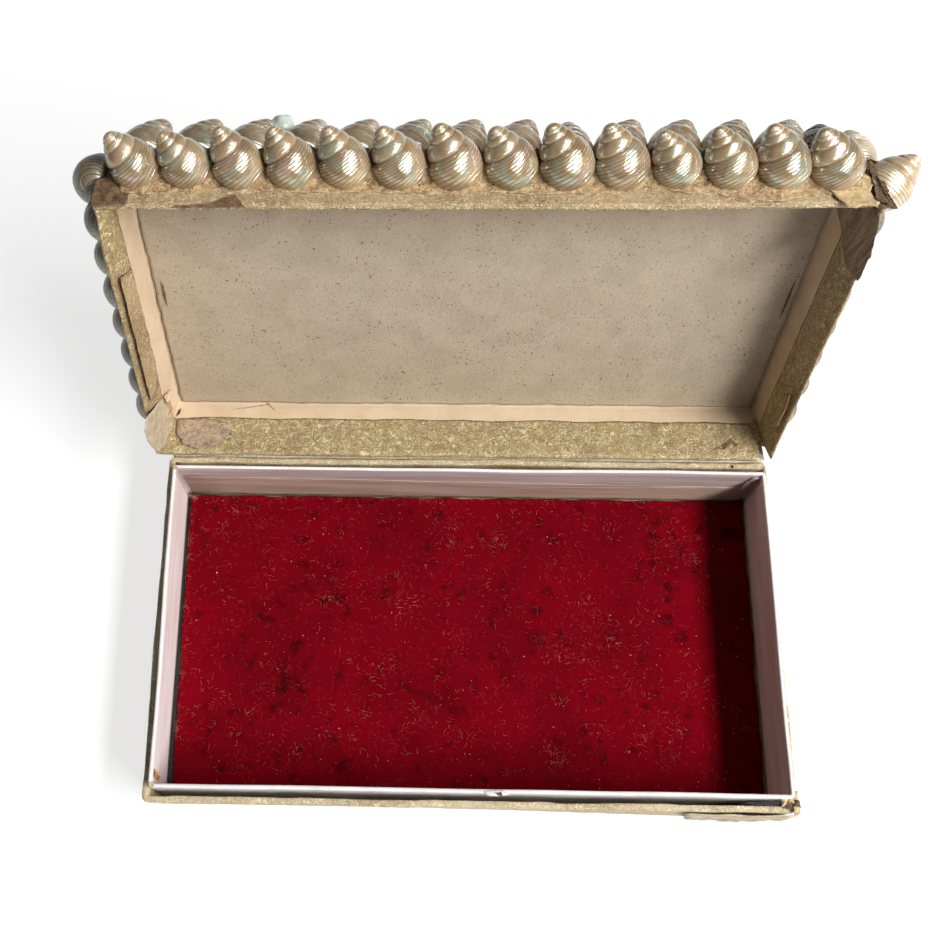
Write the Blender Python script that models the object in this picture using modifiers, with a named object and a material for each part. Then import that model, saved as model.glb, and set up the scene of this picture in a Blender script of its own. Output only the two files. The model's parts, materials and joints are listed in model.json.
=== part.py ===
"""Shell box: a hinged card box covered in embossed paper, its lid edged with rows of pearly shells.

The box stands open. Its frame has the origin under the middle of the base, +X along the
length, +Y towards the hinge and +Z up. Everything on the lid is laid out as if the lid were
closed and hangs on an empty on the hinge line, which turns the lid back to its open angle.
In the lid's own layout +x runs along the hinge, v from the hinge to the free front wall, and
w from the rim up to the top.
"""

import math

import bmesh
import bpy
from mathutils import Matrix, Vector

MM = 0.001

# Base: an outer box of thick board, a thin neck standing up inside it, and a flocked floor card
OUTER_LENGTH = 191.2 * MM
OUTER_WIDTH = 108.4 * MM
OUTER_HEIGHT = 24.0 * MM
BOARD = 2.0 * MM
END_BOARD = 1.6 * MM
NECK_INNER_LENGTH = 185.0 * MM
NECK_INNER_WIDTH = 98.0 * MM
NECK_CARD = 1.2 * MM
NECK_PROUD = 2.7 * MM
FLOOR_CARD = 0.8 * MM
GAP = 0.3 * MM
SOFT_EDGE = 0.4 * MM
SHARP_ANGLE = math.radians(50)

# Lid: a shallow tray whose end walls have spread outwards with age
OPEN_ANGLE = math.radians(102.8)
LID_LENGTH = 109.0 * MM
LID_DEPTH = 20.2 * MM
LID_TOP = LID_DEPTH + BOARD
LID_TWIST = 1.3 * MM
TOP_LEFT = (-95.9 * MM, -94.9 * MM)
TOP_RIGHT = (94.5 * MM, 95.5 * MM)
RIM_LEFT = (-100.0 * MM, -97.8 * MM)
RIM_RIGHT = (96.2 * MM, 98.6 * MM)
LINING_PAPER = 0.4 * MM
LINING_INSET = 1.0 * MM
SPLIT_WIDTH = 4.0 * MM
SPLIT_DEPTH = 11.0 * MM

# Hinge: a strip of the covering paper down the back of the base
HINGE_PAPER = 0.3 * MM
HINGE_DROP = 9.0 * MM
HINGE_LENGTH = 189.0 * MM

# Shells: each size is a factor on the shell of 13 mm diameter and 17 mm height. A spire's tilt
# and dip are in degrees, and a negative dip raises it off the surface it is glued to.
SHELL_RADIUS = 6.5 * MM
SHELL_HEIGHT = 17.0 * MM
SHELL_MIDDLE = 0.62
SHELL_SIDES = 8
CAVITY_SINK = 0.5 * MM
FRONT_SHELL_LIFT = 3.0 * MM
FRONT_SPIRE_DIP = -57
END_SHELL_LIFT = 2.4 * MM
END_SPIRE_TILT = 14
END_SPIRE_DIP = 10
CORNER_SHELL_LIFT = 4.4 * MM
CORNER_SPIRE_TILT = 40
CORNER_SPIRE_DIP = -55
TOP_SPIRE_TILT = -105
TOP_SPIRE_DIP = -65
TALL_SPIRE_DIP = -85
FRONT_SHELL_HEIGHT = 12.4 * MM
LEFT_SHELL_HEIGHT = 14.5 * MM
RIGHT_SHELL_HEIGHT = 15.5 * MM
CORNER_SHELL_HEIGHT = 13.0 * MM
FRONT_COUNT = 14
FRONT_FIRST = -87.6 * MM
FRONT_LAST = 87.2 * MM
FRONT_CROWDING = 1.0 * MM
SIDE_COUNT = 8
SIDE_FIRST = 8.5 * MM
SIDE_LAST = 104.6 * MM
TOP_COUNT = 13
TOP_FIRST = -90.0 * MM
TOP_LAST = 76.6 * MM
TOP_ROW_V = 101.3 * MM
TOP_SHELL_LIFT = 5.0 * MM
TALL_SHELL_LIFT = 4.2 * MM
TALL_SHELL_SIZE = 1.12
TALL_TOP_SHELL = 8
BROWN_SHELL_X = 89.4 * MM
BROWN_SHELL_SIZE = 0.86


def material(name, colour, roughness, metallic=0.0):
    """A plain Principled material from an sRGB hex colour."""
    made = bpy.data.materials.new(name)
    made.use_nodes = True
    channels = [int(colour[i : i + 2], 16) / 255 for i in (1, 3, 5)]
    linear = [c / 12.92 if c <= 0.04045 else ((c + 0.055) / 1.055) ** 2.4 for c in channels]
    shader = made.node_tree.nodes["Principled BSDF"]
    shader.inputs["Base Color"].default_value = (*linear, 1.0)
    shader.inputs["Roughness"].default_value = roughness
    shader.inputs["Metallic"].default_value = metallic
    return made


def add_object(name, mesh, collection, finish, parent=None):
    """An object of this mesh with its own finish, in the given collection."""
    made = bpy.data.objects.new(name, mesh)
    collection.objects.link(made)
    if finish and finish.name not in mesh.materials:
        mesh.materials.append(finish)
    made.parent = parent
    return made


def block(name, low, high):
    """A box mesh between two corners."""
    bm = bmesh.new()
    bmesh.ops.create_cube(bm, size=1.0)
    size = Vector(high) - Vector(low)
    centre = (Vector(high) + Vector(low)) / 2
    bmesh.ops.transform(bm, matrix=Matrix.Translation(centre) @ Matrix.Diagonal((*size, 1.0)), verts=bm.verts)
    mesh = bpy.data.meshes.new(name)
    bm.to_mesh(mesh)
    bm.free()
    return mesh


def open_faces(mesh, directions):
    """Takes away the faces of a box mesh that look in the given directions."""
    bm = bmesh.new()
    bm.from_mesh(mesh)
    bm.normal_update()
    lost = [f for f in bm.faces for way in directions if f.normal.dot(Vector(way)) > 0.9]
    bmesh.ops.delete(bm, geom=lost, context="FACES_ONLY")
    bm.to_mesh(mesh)
    bm.free()


def thicken(made, thickness):
    """Gives an open surface a board's thickness on its inner side."""
    wall = made.modifiers.new("board", "SOLIDIFY")
    wall.thickness = thickness
    wall.offset = -1.0
    wall.use_even_offset = True


def carve(made, cutter):
    """Cuts the shape of one object out of another and keeps the cutter out of sight."""
    cutter.hide_render = True
    cutter.display_type = "WIRE"
    cut = made.modifiers.new(cutter.name, "BOOLEAN")
    cut.object = cutter


def soften(made, width):
    """Rounds the folded edges a little."""
    edge = made.modifiers.new("folded_edge", "BEVEL")
    edge.width = width
    edge.segments = 1
    edge.limit_method = "ANGLE"
    edge.angle_limit = math.radians(40)


def make_base(collection, cutters):
    """The outer box, the neck standing in it and the flocked floor card lying in the neck."""
    half = Vector((OUTER_LENGTH / 2, OUTER_WIDTH / 2, 0))
    rim = Vector((0, 0, OUTER_HEIGHT))
    outer = block("outer_box", -half, half + rim)
    box = add_object("outer_box", outer, collection, material("embossed_cover_paper", "#D3C29B", 0.6))
    walls = Vector((END_BOARD, BOARD, 0))
    bottom = Vector((0, 0, BOARD))
    well = block("base_hollow", walls + bottom - half, half - walls + rim + bottom)
    carve(box, add_object("base_hollow", well, cutters, None))
    soften(box, SOFT_EDGE)

    inner = Vector((NECK_INNER_LENGTH / 2, NECK_INNER_WIDTH / 2, 0))
    around = inner + Vector((NECK_CARD, NECK_CARD, 0))
    foot = Vector((0, 0, BOARD + GAP))
    top = Vector((0, 0, OUTER_HEIGHT + NECK_PROUD))
    ring = block("neck", -around + foot, around + top)
    open_faces(ring, [(0, 0, 1), (0, 0, -1)])
    neck = add_object("neck", ring, collection, material("white_neck_card", "#E6E2E4", 0.55))
    thicken(neck, NECK_CARD)

    pad = inner - Vector((GAP, GAP, 0))
    lift = Vector((0, 0, FLOOR_CARD))
    floor = block("floor_card", -pad + foot, pad + foot + lift)
    add_object("floor_card", floor, collection, material("red_flocked_card", "#8E0A20", 0.95))


def make_hinge(collection):
    """The strip of paper that hinges the lid, pasted down the back of the base."""
    back = OUTER_WIDTH / 2 + GAP
    top = OUTER_HEIGHT - GAP
    low = (-HINGE_LENGTH / 2, back, top - HINGE_DROP)
    high = (HINGE_LENGTH / 2, back + HINGE_PAPER, top)
    strip = block("hinge_paper", low, high)
    add_object("hinge_paper", strip, collection, material("hinge_strip_paper", "#CDBB90", 0.65))


def twist(x, v):
    """How far the warped lid is lifted at x along it and v out from the hinge."""
    return LID_TWIST * (x / OUTER_LENGTH + 0.5) * v / LID_LENGTH


def between(ends, v):
    """A size that changes evenly from the hinge to the front wall."""
    return ends[0] + (ends[1] - ends[0]) * v / LID_LENGTH


def wall_x(rim, top, v, w):
    """Where the outer face of a leaning end wall stands at v and w."""
    return between(rim, v) + (between(top, v) - between(rim, v)) * w / LID_TOP


def lid_point(x, v, w):
    """A point of the lid in the closed layout round the hinge line."""
    return Vector((x, -v, w + twist(x, v)))


def lid_mesh():
    """The lid's outer faces: a box whose corners are moved out to the spread rim."""
    mesh = block("lid", (-1, -1, 0), (1, 0, 1))
    for vertex in mesh.vertices:
        v = LID_LENGTH * -vertex.co.y
        at_top = vertex.co.z > 0.5
        w = LID_TOP if at_top else GAP
        left = TOP_LEFT if at_top else RIM_LEFT
        right = TOP_RIGHT if at_top else RIM_RIGHT
        x = between(right if vertex.co.x > 0 else left, v)
        vertex.co = lid_point(x, v, w)
    mesh.update()
    open_faces(mesh, [(0, 0, -1)])
    return mesh


def make_lid(collection, cutters, hinge):
    """The lid tray, split at its rear right corner, and the paper panel that lines it."""
    lid = add_object("lid", lid_mesh(), collection, material("embossed_lid_paper", "#CDBB92", 0.6), hinge)
    thicken(lid, BOARD)
    soften(lid, SOFT_EDGE)

    bm = bmesh.new()
    bmesh.ops.create_cone(bm, cap_ends=True, segments=3, radius1=1.0, radius2=1.0, depth=1.0)
    spin = Matrix.Rotation(math.radians(-90), 4, "X") @ Matrix.Rotation(math.radians(-90), 4, "Z")
    bmesh.ops.transform(bm, matrix=spin, verts=bm.verts)
    wide = SPLIT_WIDTH / math.sqrt(3)
    tall = SPLIT_DEPTH / 1.5
    size = Matrix.Diagonal((wide, 2.4 * BOARD, tall, 1.0))
    bmesh.ops.transform(bm, matrix=size, verts=bm.verts)
    bmesh.ops.recalc_face_normals(bm, faces=bm.faces)
    wedge = bpy.data.meshes.new("corner_split")
    bm.to_mesh(wedge)
    bm.free()
    split = add_object("corner_split", wedge, cutters, None, hinge)
    split.location = (RIM_RIGHT[0] - BOARD - 0.45 * SPLIT_WIDTH, -BOARD, tall / 2)
    carve(lid, split)

    panel = block("lid_lining", (-1, -1, 0), (1, 0, 1))
    for vertex in panel.vertices:
        v = BOARD + LINING_INSET + (LID_LENGTH - 2 * BOARD - 2 * LINING_INSET) * -vertex.co.y
        w = LID_DEPTH - GAP - (0 if vertex.co.z > 0.5 else LINING_PAPER)
        right = between(TOP_RIGHT, v) - BOARD - LINING_INSET
        left = between(TOP_LEFT, v) + BOARD + LINING_INSET
        vertex.co = lid_point(right if vertex.co.x > 0 else left, v, w)
    panel.update()
    add_object("lid_lining", panel, collection, material("foxed_lining_paper", "#B7A691", 0.8), hinge)


def whorl_profile():
    """(distance down the axis, radius) of a turban shell, as shares of its height and radius.

    Three whorls swell between pressed-in sutures, and the last one is over half the height.
    """
    sutures = ((0.14, 0.34), (0.35, 0.68))
    points = [(0.0, 0.0)]
    for at, girth in sutures:
        points.append((at, 0.86 * girth))
        points.append((at + 0.07, 1.12 * girth))
    points += [(0.54, 0.97), (0.70, 1.0), (0.88, 0.70), (1.0, 0.0)]
    return points


def turned(bm, profile, sides, place):
    """Adds the solid of revolution of a profile that starts and ends on the axis.

    Ring k lies at distance s down the local axis with radius r: (r cos t, r sin t, -s).
    """
    rings = []
    for s, r in profile:
        count = sides if r else 1
        turns = [2 * math.pi * k / sides for k in range(count)]
        rings.append([bm.verts.new(place @ Vector((r * math.cos(t), r * math.sin(t), -s))) for t in turns])
    for upper, lower in zip(rings, rings[1:]):
        for k in range(sides):
            n = (k + 1) % sides
            corners = [lower[k % len(lower)], lower[n % len(lower)], upper[n % len(upper)], upper[k % len(upper)]]
            bm.faces.new(list(dict.fromkeys(corners)))


def glued_shell(name, tilt, dip, lift):
    """A hollow turban shell cut flat where it is glued, its open underside on the plane y = 0.

    Seen from -y its spire leans to the left of upright by tilt, and dips towards the glue
    plane by dip. The middle of its body whorl is lift away from that plane.
    """
    scale = Vector((SHELL_RADIUS, SHELL_RADIUS, SHELL_HEIGHT))
    lean = Matrix.Rotation(-math.radians(tilt), 4, "Y") @ Matrix.Rotation(-math.radians(dip), 4, "X")
    middle = Matrix.Translation((0, 0, SHELL_MIDDLE * SHELL_HEIGHT))
    place = Matrix.Translation((0, -lift, 0)) @ lean @ middle @ Matrix.Diagonal((*scale, 1.0))

    bm = bmesh.new()
    turned(bm, whorl_profile(), SHELL_SIDES, place)
    bmesh.ops.recalc_face_normals(bm, faces=bm.faces)
    cut = bmesh.ops.bisect_plane(
        bm, geom=bm.verts[:] + bm.edges[:] + bm.faces[:], plane_co=(0, 0, 0), plane_no=(0, 1, 0), clear_outer=True
    )
    rim = [e for e in cut["geom_cut"] if isinstance(e, bmesh.types.BMEdge)]
    bmesh.ops.contextual_create(bm, geom=rim)
    bmesh.ops.recalc_face_normals(bm, faces=bm.faces)
    bmesh.ops.triangulate(bm, faces=bm.faces)
    body = bpy.data.meshes.new(name)
    bm.to_mesh(body)
    bm.free()

    bm = bmesh.new()
    hollow = [(0.15, 0.0), (0.43, 0.64), (0.56, 0.87), (0.71, 0.89), (0.88, 0.55), (0.96, 0.0)]
    turned(bm, hollow, SHELL_SIDES, Matrix.Translation((0, CAVITY_SINK, 0)) @ place)
    bmesh.ops.recalc_face_normals(bm, faces=bm.faces)
    cavity = bpy.data.meshes.new(name + "_cavity")
    bm.to_mesh(cavity)
    bm.free()
    return hollowed(body, cavity)


def hollowed(body, cavity):
    """The body mesh less the cavity mesh."""
    scene = bpy.context.scene.collection
    solid = bpy.data.objects.new("body", body)
    cutter = bpy.data.objects.new("cavity", cavity)
    scene.objects.link(solid)
    scene.objects.link(cutter)
    cut = solid.modifiers.new("hollow", "BOOLEAN")
    cut.object = cutter
    graph = bpy.context.evaluated_depsgraph_get()
    mesh = bpy.data.meshes.new_from_object(solid.evaluated_get(graph))
    mesh.name = body.name + "_hollow"
    mesh.shade_smooth()
    mesh.set_sharp_from_angle(angle=SHARP_ANGLE)
    bpy.data.objects.remove(cutter)
    bpy.data.objects.remove(solid)
    return mesh


def place_shell(name, mesh, collection, finish, hinge, at, turn, size):
    """Sets one shell on the lid: at a point of the closed layout, turned, and scaled by size."""
    shell = add_object(name, mesh.copy(), collection, finish, hinge)
    shell.matrix_local = Matrix.Translation(at) @ turn @ Matrix.Diagonal((size, size, size, 1.0))
    return shell


def spread(first, last, count, k):
    """The k-th of a number of evenly spaced places."""
    return first + (last - first) * k / (count - 1)


def make_wall_shells(collection, hinge, pearl):
    """The rows on the front wall and on the two end walls."""
    tilts = (74, 70, 52, 54, 52, 58, 50, 58, 52, 46, 60, 54, 48, 68)
    sizes = (0.95, 0.95, 0.98, 0.97, 0.98, 1.0, 1.03, 1.0, 1.05, 1.02, 0.96, 0.99, 1.02, 1.04)
    for k, (tilt, size) in enumerate(zip(tilts, sizes)):
        x = spread(FRONT_FIRST, FRONT_LAST, FRONT_COUNT, k)
        x -= FRONT_CROWDING * (0.6 + math.sin(2 * math.pi * k / (FRONT_COUNT - 1)))
        mesh = glued_shell("front_form", tilt, FRONT_SPIRE_DIP, FRONT_SHELL_LIFT)
        at = lid_point(x, LID_LENGTH + GAP, FRONT_SHELL_HEIGHT)
        place_shell(f"front_shell_{k + 1:02d}", mesh, collection, pearl, hinge, at, Matrix(), size)

    form = glued_shell("end_form", END_SPIRE_TILT, END_SPIRE_DIP, END_SHELL_LIFT)
    corner = glued_shell("corner_form", CORNER_SPIRE_TILT, CORNER_SPIRE_DIP, CORNER_SHELL_LIFT)
    ends = (
        (-1, "left", RIM_LEFT, TOP_LEFT, LEFT_SHELL_HEIGHT),
        (1, "right", RIM_RIGHT, TOP_RIGHT, RIGHT_SHELL_HEIGHT),
    )
    for side, name, rim, top, height in ends:
        for k in range(SIDE_COUNT):
            raised = name == "right" and k == SIDE_COUNT - 1
            mesh, w = (corner, CORNER_SHELL_HEIGHT) if raised else (form, height)
            v = spread(SIDE_FIRST, SIDE_LAST, SIDE_COUNT, k)
            lean = math.atan2(wall_x(rim, top, v, LID_TOP) - wall_x(rim, top, v, 0), LID_TOP)
            x = wall_x(rim, top, v, w) + side * 1.5 * GAP
            turn = Matrix.Rotation(lean, 4, "Y") @ Matrix.Rotation(side * math.radians(90), 4, "Z")
            at = lid_point(x, v, w)
            place_shell(f"{name}_shell_{k + 1:02d}", mesh, collection, pearl, hinge, at, turn, 1.0)


def make_top_shells(collection, hinge, pearl):
    """The border along the top's front edge, spires raised and pointing to the right.

    One shell stands taller than the rest, and a darker netted one ends the row.
    """
    upward = Matrix.Rotation(math.radians(-90), 4, "X")
    leaning = glued_shell("leaning_form", TOP_SPIRE_TILT, TOP_SPIRE_DIP, TOP_SHELL_LIFT)
    standing = glued_shell("standing_form", TOP_SPIRE_TILT, TALL_SPIRE_DIP, TALL_SHELL_LIFT)
    for k in range(TOP_COUNT):
        form, size = (standing, TALL_SHELL_SIZE) if k == TALL_TOP_SHELL else (leaning, 1.0)
        x = spread(TOP_FIRST, TOP_LAST, TOP_COUNT, k)
        at = lid_point(x, TOP_ROW_V, LID_TOP + GAP)
        place_shell(f"top_shell_{k + 1:02d}", form, collection, pearl, hinge, at, upward, size)

    net = material("brown_netted_shell", "#3B2E26", 0.35)
    at = lid_point(BROWN_SHELL_X, TOP_ROW_V, LID_TOP + GAP)
    place_shell("brown_shell", standing, collection, net, hinge, at, upward, BROWN_SHELL_SIZE)


def main():
    for old in list(bpy.data.objects):
        bpy.data.objects.remove(old)
    parts = bpy.data.collections.new("shell_box")
    cutters = bpy.data.collections.new("cutters")
    bpy.context.scene.collection.children.link(parts)
    bpy.context.scene.collection.children.link(cutters)
    cutters.hide_render = True

    hinge = bpy.data.objects.new("lid_hinge", None)
    hinge.location = (0, OUTER_WIDTH / 2, OUTER_HEIGHT)
    hinge.rotation_euler = (-OPEN_ANGLE, 0, 0)
    parts.objects.link(hinge)

    make_base(parts, cutters)
    make_hinge(parts)
    make_lid(parts, cutters, hinge)
    pearl = material("pearly_shell", "#CDBCA6", 0.25)
    make_wall_shells(parts, hinge, pearl)
    make_top_shells(parts, hinge, pearl)


main()
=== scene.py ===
# %% [markdown]
# # A hinged card box with pearly shells glued on its lid
# The real object is made of board covered in paper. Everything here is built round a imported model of
# it, which gives each part's place. Only the looks are made in this file: paper, flock, pearl and glue.

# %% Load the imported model
import json
import math

import bpy
import numpy as np
from mathutils import Matrix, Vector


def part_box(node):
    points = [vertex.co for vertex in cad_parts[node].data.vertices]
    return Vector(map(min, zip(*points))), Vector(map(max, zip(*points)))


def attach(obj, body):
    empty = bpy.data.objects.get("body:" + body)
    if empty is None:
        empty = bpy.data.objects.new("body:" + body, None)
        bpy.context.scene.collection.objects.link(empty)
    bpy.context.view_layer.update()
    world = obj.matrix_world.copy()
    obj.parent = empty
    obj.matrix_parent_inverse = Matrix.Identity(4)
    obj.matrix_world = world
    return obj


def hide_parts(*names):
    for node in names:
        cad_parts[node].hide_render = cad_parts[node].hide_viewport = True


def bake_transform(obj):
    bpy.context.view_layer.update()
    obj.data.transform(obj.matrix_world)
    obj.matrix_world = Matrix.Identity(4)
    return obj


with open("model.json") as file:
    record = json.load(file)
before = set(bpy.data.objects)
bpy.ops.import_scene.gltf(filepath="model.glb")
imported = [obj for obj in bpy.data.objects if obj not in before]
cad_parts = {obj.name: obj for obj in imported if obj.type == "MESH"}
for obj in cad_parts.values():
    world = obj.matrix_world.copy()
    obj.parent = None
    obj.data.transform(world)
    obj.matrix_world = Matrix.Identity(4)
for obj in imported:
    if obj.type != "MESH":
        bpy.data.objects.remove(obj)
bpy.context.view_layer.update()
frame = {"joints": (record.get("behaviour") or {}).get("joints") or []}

MM = 0.001

# %% [markdown]
# ## Where things are
# The base stands square to the axes. The lid is a tilted tray, so its pieces are laid out as if it were
# closed: x along the hinge, v out from the hinge to the front wall, w up from the rim to the top. One
# function then swings a closed-layout point open by the hinge's own angle.

# %% Read the parts' places
joint = frame["joints"][0]
hinge = np.array(joint["pos_m"]) / MM
open_angle = math.radians(joint["range_deg"][1])


def place_of(node):
    """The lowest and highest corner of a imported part, in millimetres."""
    low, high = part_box(node)
    return np.array(low) / MM, np.array(high) / MM


def swing_open(points):
    """Turns closed-layout points (x, -v, w) about the hinge line by minus the open angle."""
    x, y, z = np.moveaxis(np.asarray(points, float), -1, 0)
    c, s = math.cos(open_angle), math.sin(open_angle)
    return np.stack([x + hinge[0], y * c + z * s + hinge[1], z * c - y * s + hinge[2]], -1)


outer_low, outer_high = place_of("outer_box")
neck_low, neck_high = place_of("neck")
card_low, card_high = place_of("floor_card")
print("outer box", outer_low, outer_high, "neck", neck_low, neck_high)

# %% [markdown]
# The lid's end walls have spread with age, and the whole tray is slightly twisted. The same few sizes
# that its solid was made from give any point of a wall: the rim line and the top line are straight, and
# a wall is what lies between them.

# %% The lid's layout
BOARD = 2.0
LID_LENGTH = 109.0
LID_DEPTH = 20.2
LID_TOP = LID_DEPTH + BOARD
LID_TWIST = 1.3
RIM_ENDS = np.array([[-100.0, -97.8], [96.2, 98.6]])
TOP_ENDS = np.array([[-95.9, -94.9], [94.5, 95.5]])
BOX_LENGTH = outer_high[0] - outer_low[0]


def wall_x(side, v, w):
    """x of an end wall's outer face: a straight blend, in v along the wall and in w up it."""
    along = v / LID_LENGTH
    rim = RIM_ENDS[side, 0] + (RIM_ENDS[side, 1] - RIM_ENDS[side, 0]) * along
    top = TOP_ENDS[side, 0] + (TOP_ENDS[side, 1] - TOP_ENDS[side, 0]) * along
    return rim + (top - rim) * w / LID_TOP


def layout_of(x, v, w):
    """The closed-layout point of a lid place: w gains a twist that grows along the lid and out in v."""
    twist = LID_TWIST * (x / BOX_LENGTH + 0.5) * v / LID_LENGTH
    return np.stack(np.broadcast_arrays(x, -v, w + twist), -1)


def on_lid(x, v, w):
    """The place of a lid point (x, v, w) with the lid swung open."""
    return swing_open(layout_of(x, v, w))


print("lid front rim middle at", on_lid(0.0, LID_LENGTH, 0.0).round(1))

# %% [markdown]
# ## Two helpers for unevenness
# Old card is never quite flat. A sum of sine waves in random directions makes a smooth bumpy field
# that can be worked out for any number of points at once. The seed fixes it, so it never changes.

# %% Waves


def waves(points, size, seed, count=28):
    """Sum of sin(k.p + phase) over random directions k of length 2 pi / size, scaled to about +-1."""
    draw = np.random.default_rng(seed)
    way = draw.normal(size=(count, 3))
    way /= np.linalg.norm(way, axis=1, keepdims=True)
    way *= 2 * math.pi / (size * draw.uniform(0.7, 1.5, (count, 1)))
    phase = draw.uniform(0, 2 * math.pi, count)
    return np.sin(np.asarray(points) @ way.T + phase).sum(-1) / math.sqrt(2 * count) * 0.9


def smooth(x, low, high):
    """0 below low, 1 above high, and 3t^2 - 2t^3 between them."""
    t = np.clip((x - low) / (high - low), 0, 1)
    return t * t * (3 - 2 * t)


def on_flat(a, b=0.0):
    """Points (a, b, 0), where a field of waves can be read for a sheet that is still flat."""
    return np.stack(np.broadcast_arrays(a, b, 0.0), -1)


print("waves at three points:", waves(on_flat(np.array([0.0, 5.0, 10.0])), 10, 1).round(2))

# %% [markdown]
# ## Meshes from grids
# Nearly every piece is a grid of points: rows along a profile, columns round a path. One function makes
# the four-cornered faces of a grid, and one puts points and faces into a mesh that rides on a body. A
# sheet is left as one layer there, and a Solidify modifier gives it the thickness of card or paper.

# %% Grid faces and the mesh maker


def quads(rows, columns, wrap_rows=False, wrap_columns=False):
    """Corner numbers of each cell (j, i): (j, i), (j, i + 1), (j + 1, i + 1), (j + 1, i)."""
    row_cells, column_cells = rows - (not wrap_rows), columns - (not wrap_columns)
    j, i = np.meshgrid(np.arange(row_cells), np.arange(column_cells), indexing="ij")
    k, n = (j + 1) % rows, (i + 1) % columns
    return np.stack([j * columns + i, j * columns + n, k * columns + n, k * columns + i], -1).reshape(-1, 4)


def caps(rows, columns, flip=False):
    """A face over the grid's first row and one over its last, which close a grid of rings."""
    first = np.arange(columns)
    last = first + (rows - 1) * columns
    return [first.tolist(), last[::-1].tolist()] if flip else [first[::-1].tolist(), last.tolist()]


def make_piece(name, points, faces, finishes, body, chosen=None, uv=None, rounded=True):
    """One object at the origin: points in mm, faces as lists of corners, a finish number per face."""
    mesh = bpy.data.meshes.new(name)
    mesh.from_pydata((np.asarray(points).reshape(-1, 3) * MM).tolist(), [], [list(f) for f in faces])
    for finish in finishes:
        mesh.materials.append(finish)
    if chosen is not None:
        mesh.polygons.foreach_set("material_index", np.asarray(chosen, np.int32))
    if uv is not None:
        mesh.uv_layers.new(name="lay").data.foreach_set("uv", np.asarray(uv, np.float32).ravel())
    mesh.polygons.foreach_set("use_smooth", np.full(len(mesh.polygons), rounded))
    mesh.update()
    mesh.validate()
    made = bpy.data.objects.new(name, mesh)
    bpy.context.scene.collection.objects.link(made)
    if body:
        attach(made, body)
    return made


def thicken(piece, millimetres, offset=0.0):
    """Solidify: offset -1 adds the thickness behind the faces, and 0 adds half on either side."""
    layer = piece.modifiers.new("thickness", "SOLIDIFY")
    layer.thickness, layer.offset = millimetres * MM, offset


print("a grid of 3 by 4 points has", len(quads(3, 4)), "faces")

# %% [markdown]
# ## Rounded rectangles
# The box, the neck and the lid are all a profile carried round a rectangle with rounded corners. Each
# column holds a corner share c and an outward direction n, so the same columns serve any inset.

# %% The path


def path_round(long_side, short_side, step, corner_steps=7):
    """Columns (c, n) anticlockwise: on a side c runs from -1 to 1, and in a corner n turns by 90 degrees."""
    counts = [max(2, round(short_side / step)), max(2, round(long_side / step))] * 2
    corners, ways = [], []
    for side, count in enumerate(counts):
        angle = side * math.pi / 2
        out = np.array([math.cos(angle), math.sin(angle)])
        across = np.array([-out[1], out[0]])
        share = np.linspace(-1, 1, count, endpoint=False)[1:, None]
        corners.append(out + across * share)
        ways.append(np.repeat(out[None], count - 1, 0))
        turn = angle + np.linspace(0, math.pi / 2, corner_steps)
        corners.append(np.repeat((out + across)[None], corner_steps, 0))
        ways.append(np.stack([np.cos(turn), np.sin(turn)], -1))
    return np.concatenate(corners), np.concatenate(ways)


def carry(path, half, radius, inset):
    """x and y of each profile row (inset) at each column: c (half - inset - r) + n r, r = radius - inset."""
    c, n = path
    inset = np.asarray(inset, float)[:, None, None]
    r = np.maximum(radius - inset, 0.15)
    return c[None] * (np.asarray(half) - inset - r) + n[None] * r


def carry_up(path, half, radius, profile):
    """Points of profile rows (inset, z) carried round the rectangle."""
    ground = carry(path, half, radius, profile[:, 0])
    return np.concatenate([ground, np.repeat(profile[:, None, 1:], ground.shape[1], 1)], -1)


print("a path round 191 by 108 mm has", len(path_round(191, 108, 1.6)[0]), "columns")

# %% [markdown]
# ## Materials
# One function adds a node with its settings and its links, and the others find the node tree through the
# link they are given. Colours are written as sRGB hex and turned into linear light by one function.
# Patterns are scaled from millimetres, since Object coordinates are in metres: a noise whose size is 3 mm
# has a scale of 1000 / 3.

# %% Nodes and colours


def linear(colour):
    """The linear RGBA of an sRGB hex colour."""
    parts = [int(colour[i:i + 2], 16) / 255 for i in (1, 3, 5)]
    return (*[c / 12.92 if c <= 0.04045 else ((c + 0.055) / 1.055) ** 2.4 for c in parts], 1.0)


def per(millimetres):
    """The scale of a pattern whose features are this many millimetres across."""
    return 1 / (millimetres * MM)


def add(tree, kind, inputs=None, **settings):
    """Adds a node: settings are its properties, and inputs its values, hex colours or links."""
    node = tree.nodes.new("ShaderNode" + kind)
    for name, value in settings.items():
        setattr(node, name, value)
    for key, value in (inputs or {}).items():
        if isinstance(value, bpy.types.NodeSocket):
            tree.links.new(value, node.inputs[key])
        else:
            node.inputs[key].default_value = linear(value) if isinstance(value, str) else value
    return node


def calc(how, first, *others):
    """One step of arithmetic, such as ADD: the first value is a link, and the others may be numbers."""
    return add(first.id_data, "Math", dict(enumerate((first, *others))), operation=how).outputs[0]


def mix(share, one, other, how="MIX"):
    """Colour one with share of the other laid on it."""
    inputs = {0: share, 6: one, 7: other}
    return add(share.id_data, "Mix", inputs, data_type="RGBA", blend_type=how, clamp_factor=True).outputs[2]


def fit(value, low, high, out_low=0.0, out_high=1.0):
    """Maps low..high to out_low..out_high with soft ends."""
    inputs = {"Value": value, "From Min": low, "From Max": high, "To Min": out_low, "To Max": out_high}
    return add(value.id_data, "MapRange", inputs, interpolation_type="SMOOTHSTEP").outputs[0]


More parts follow.
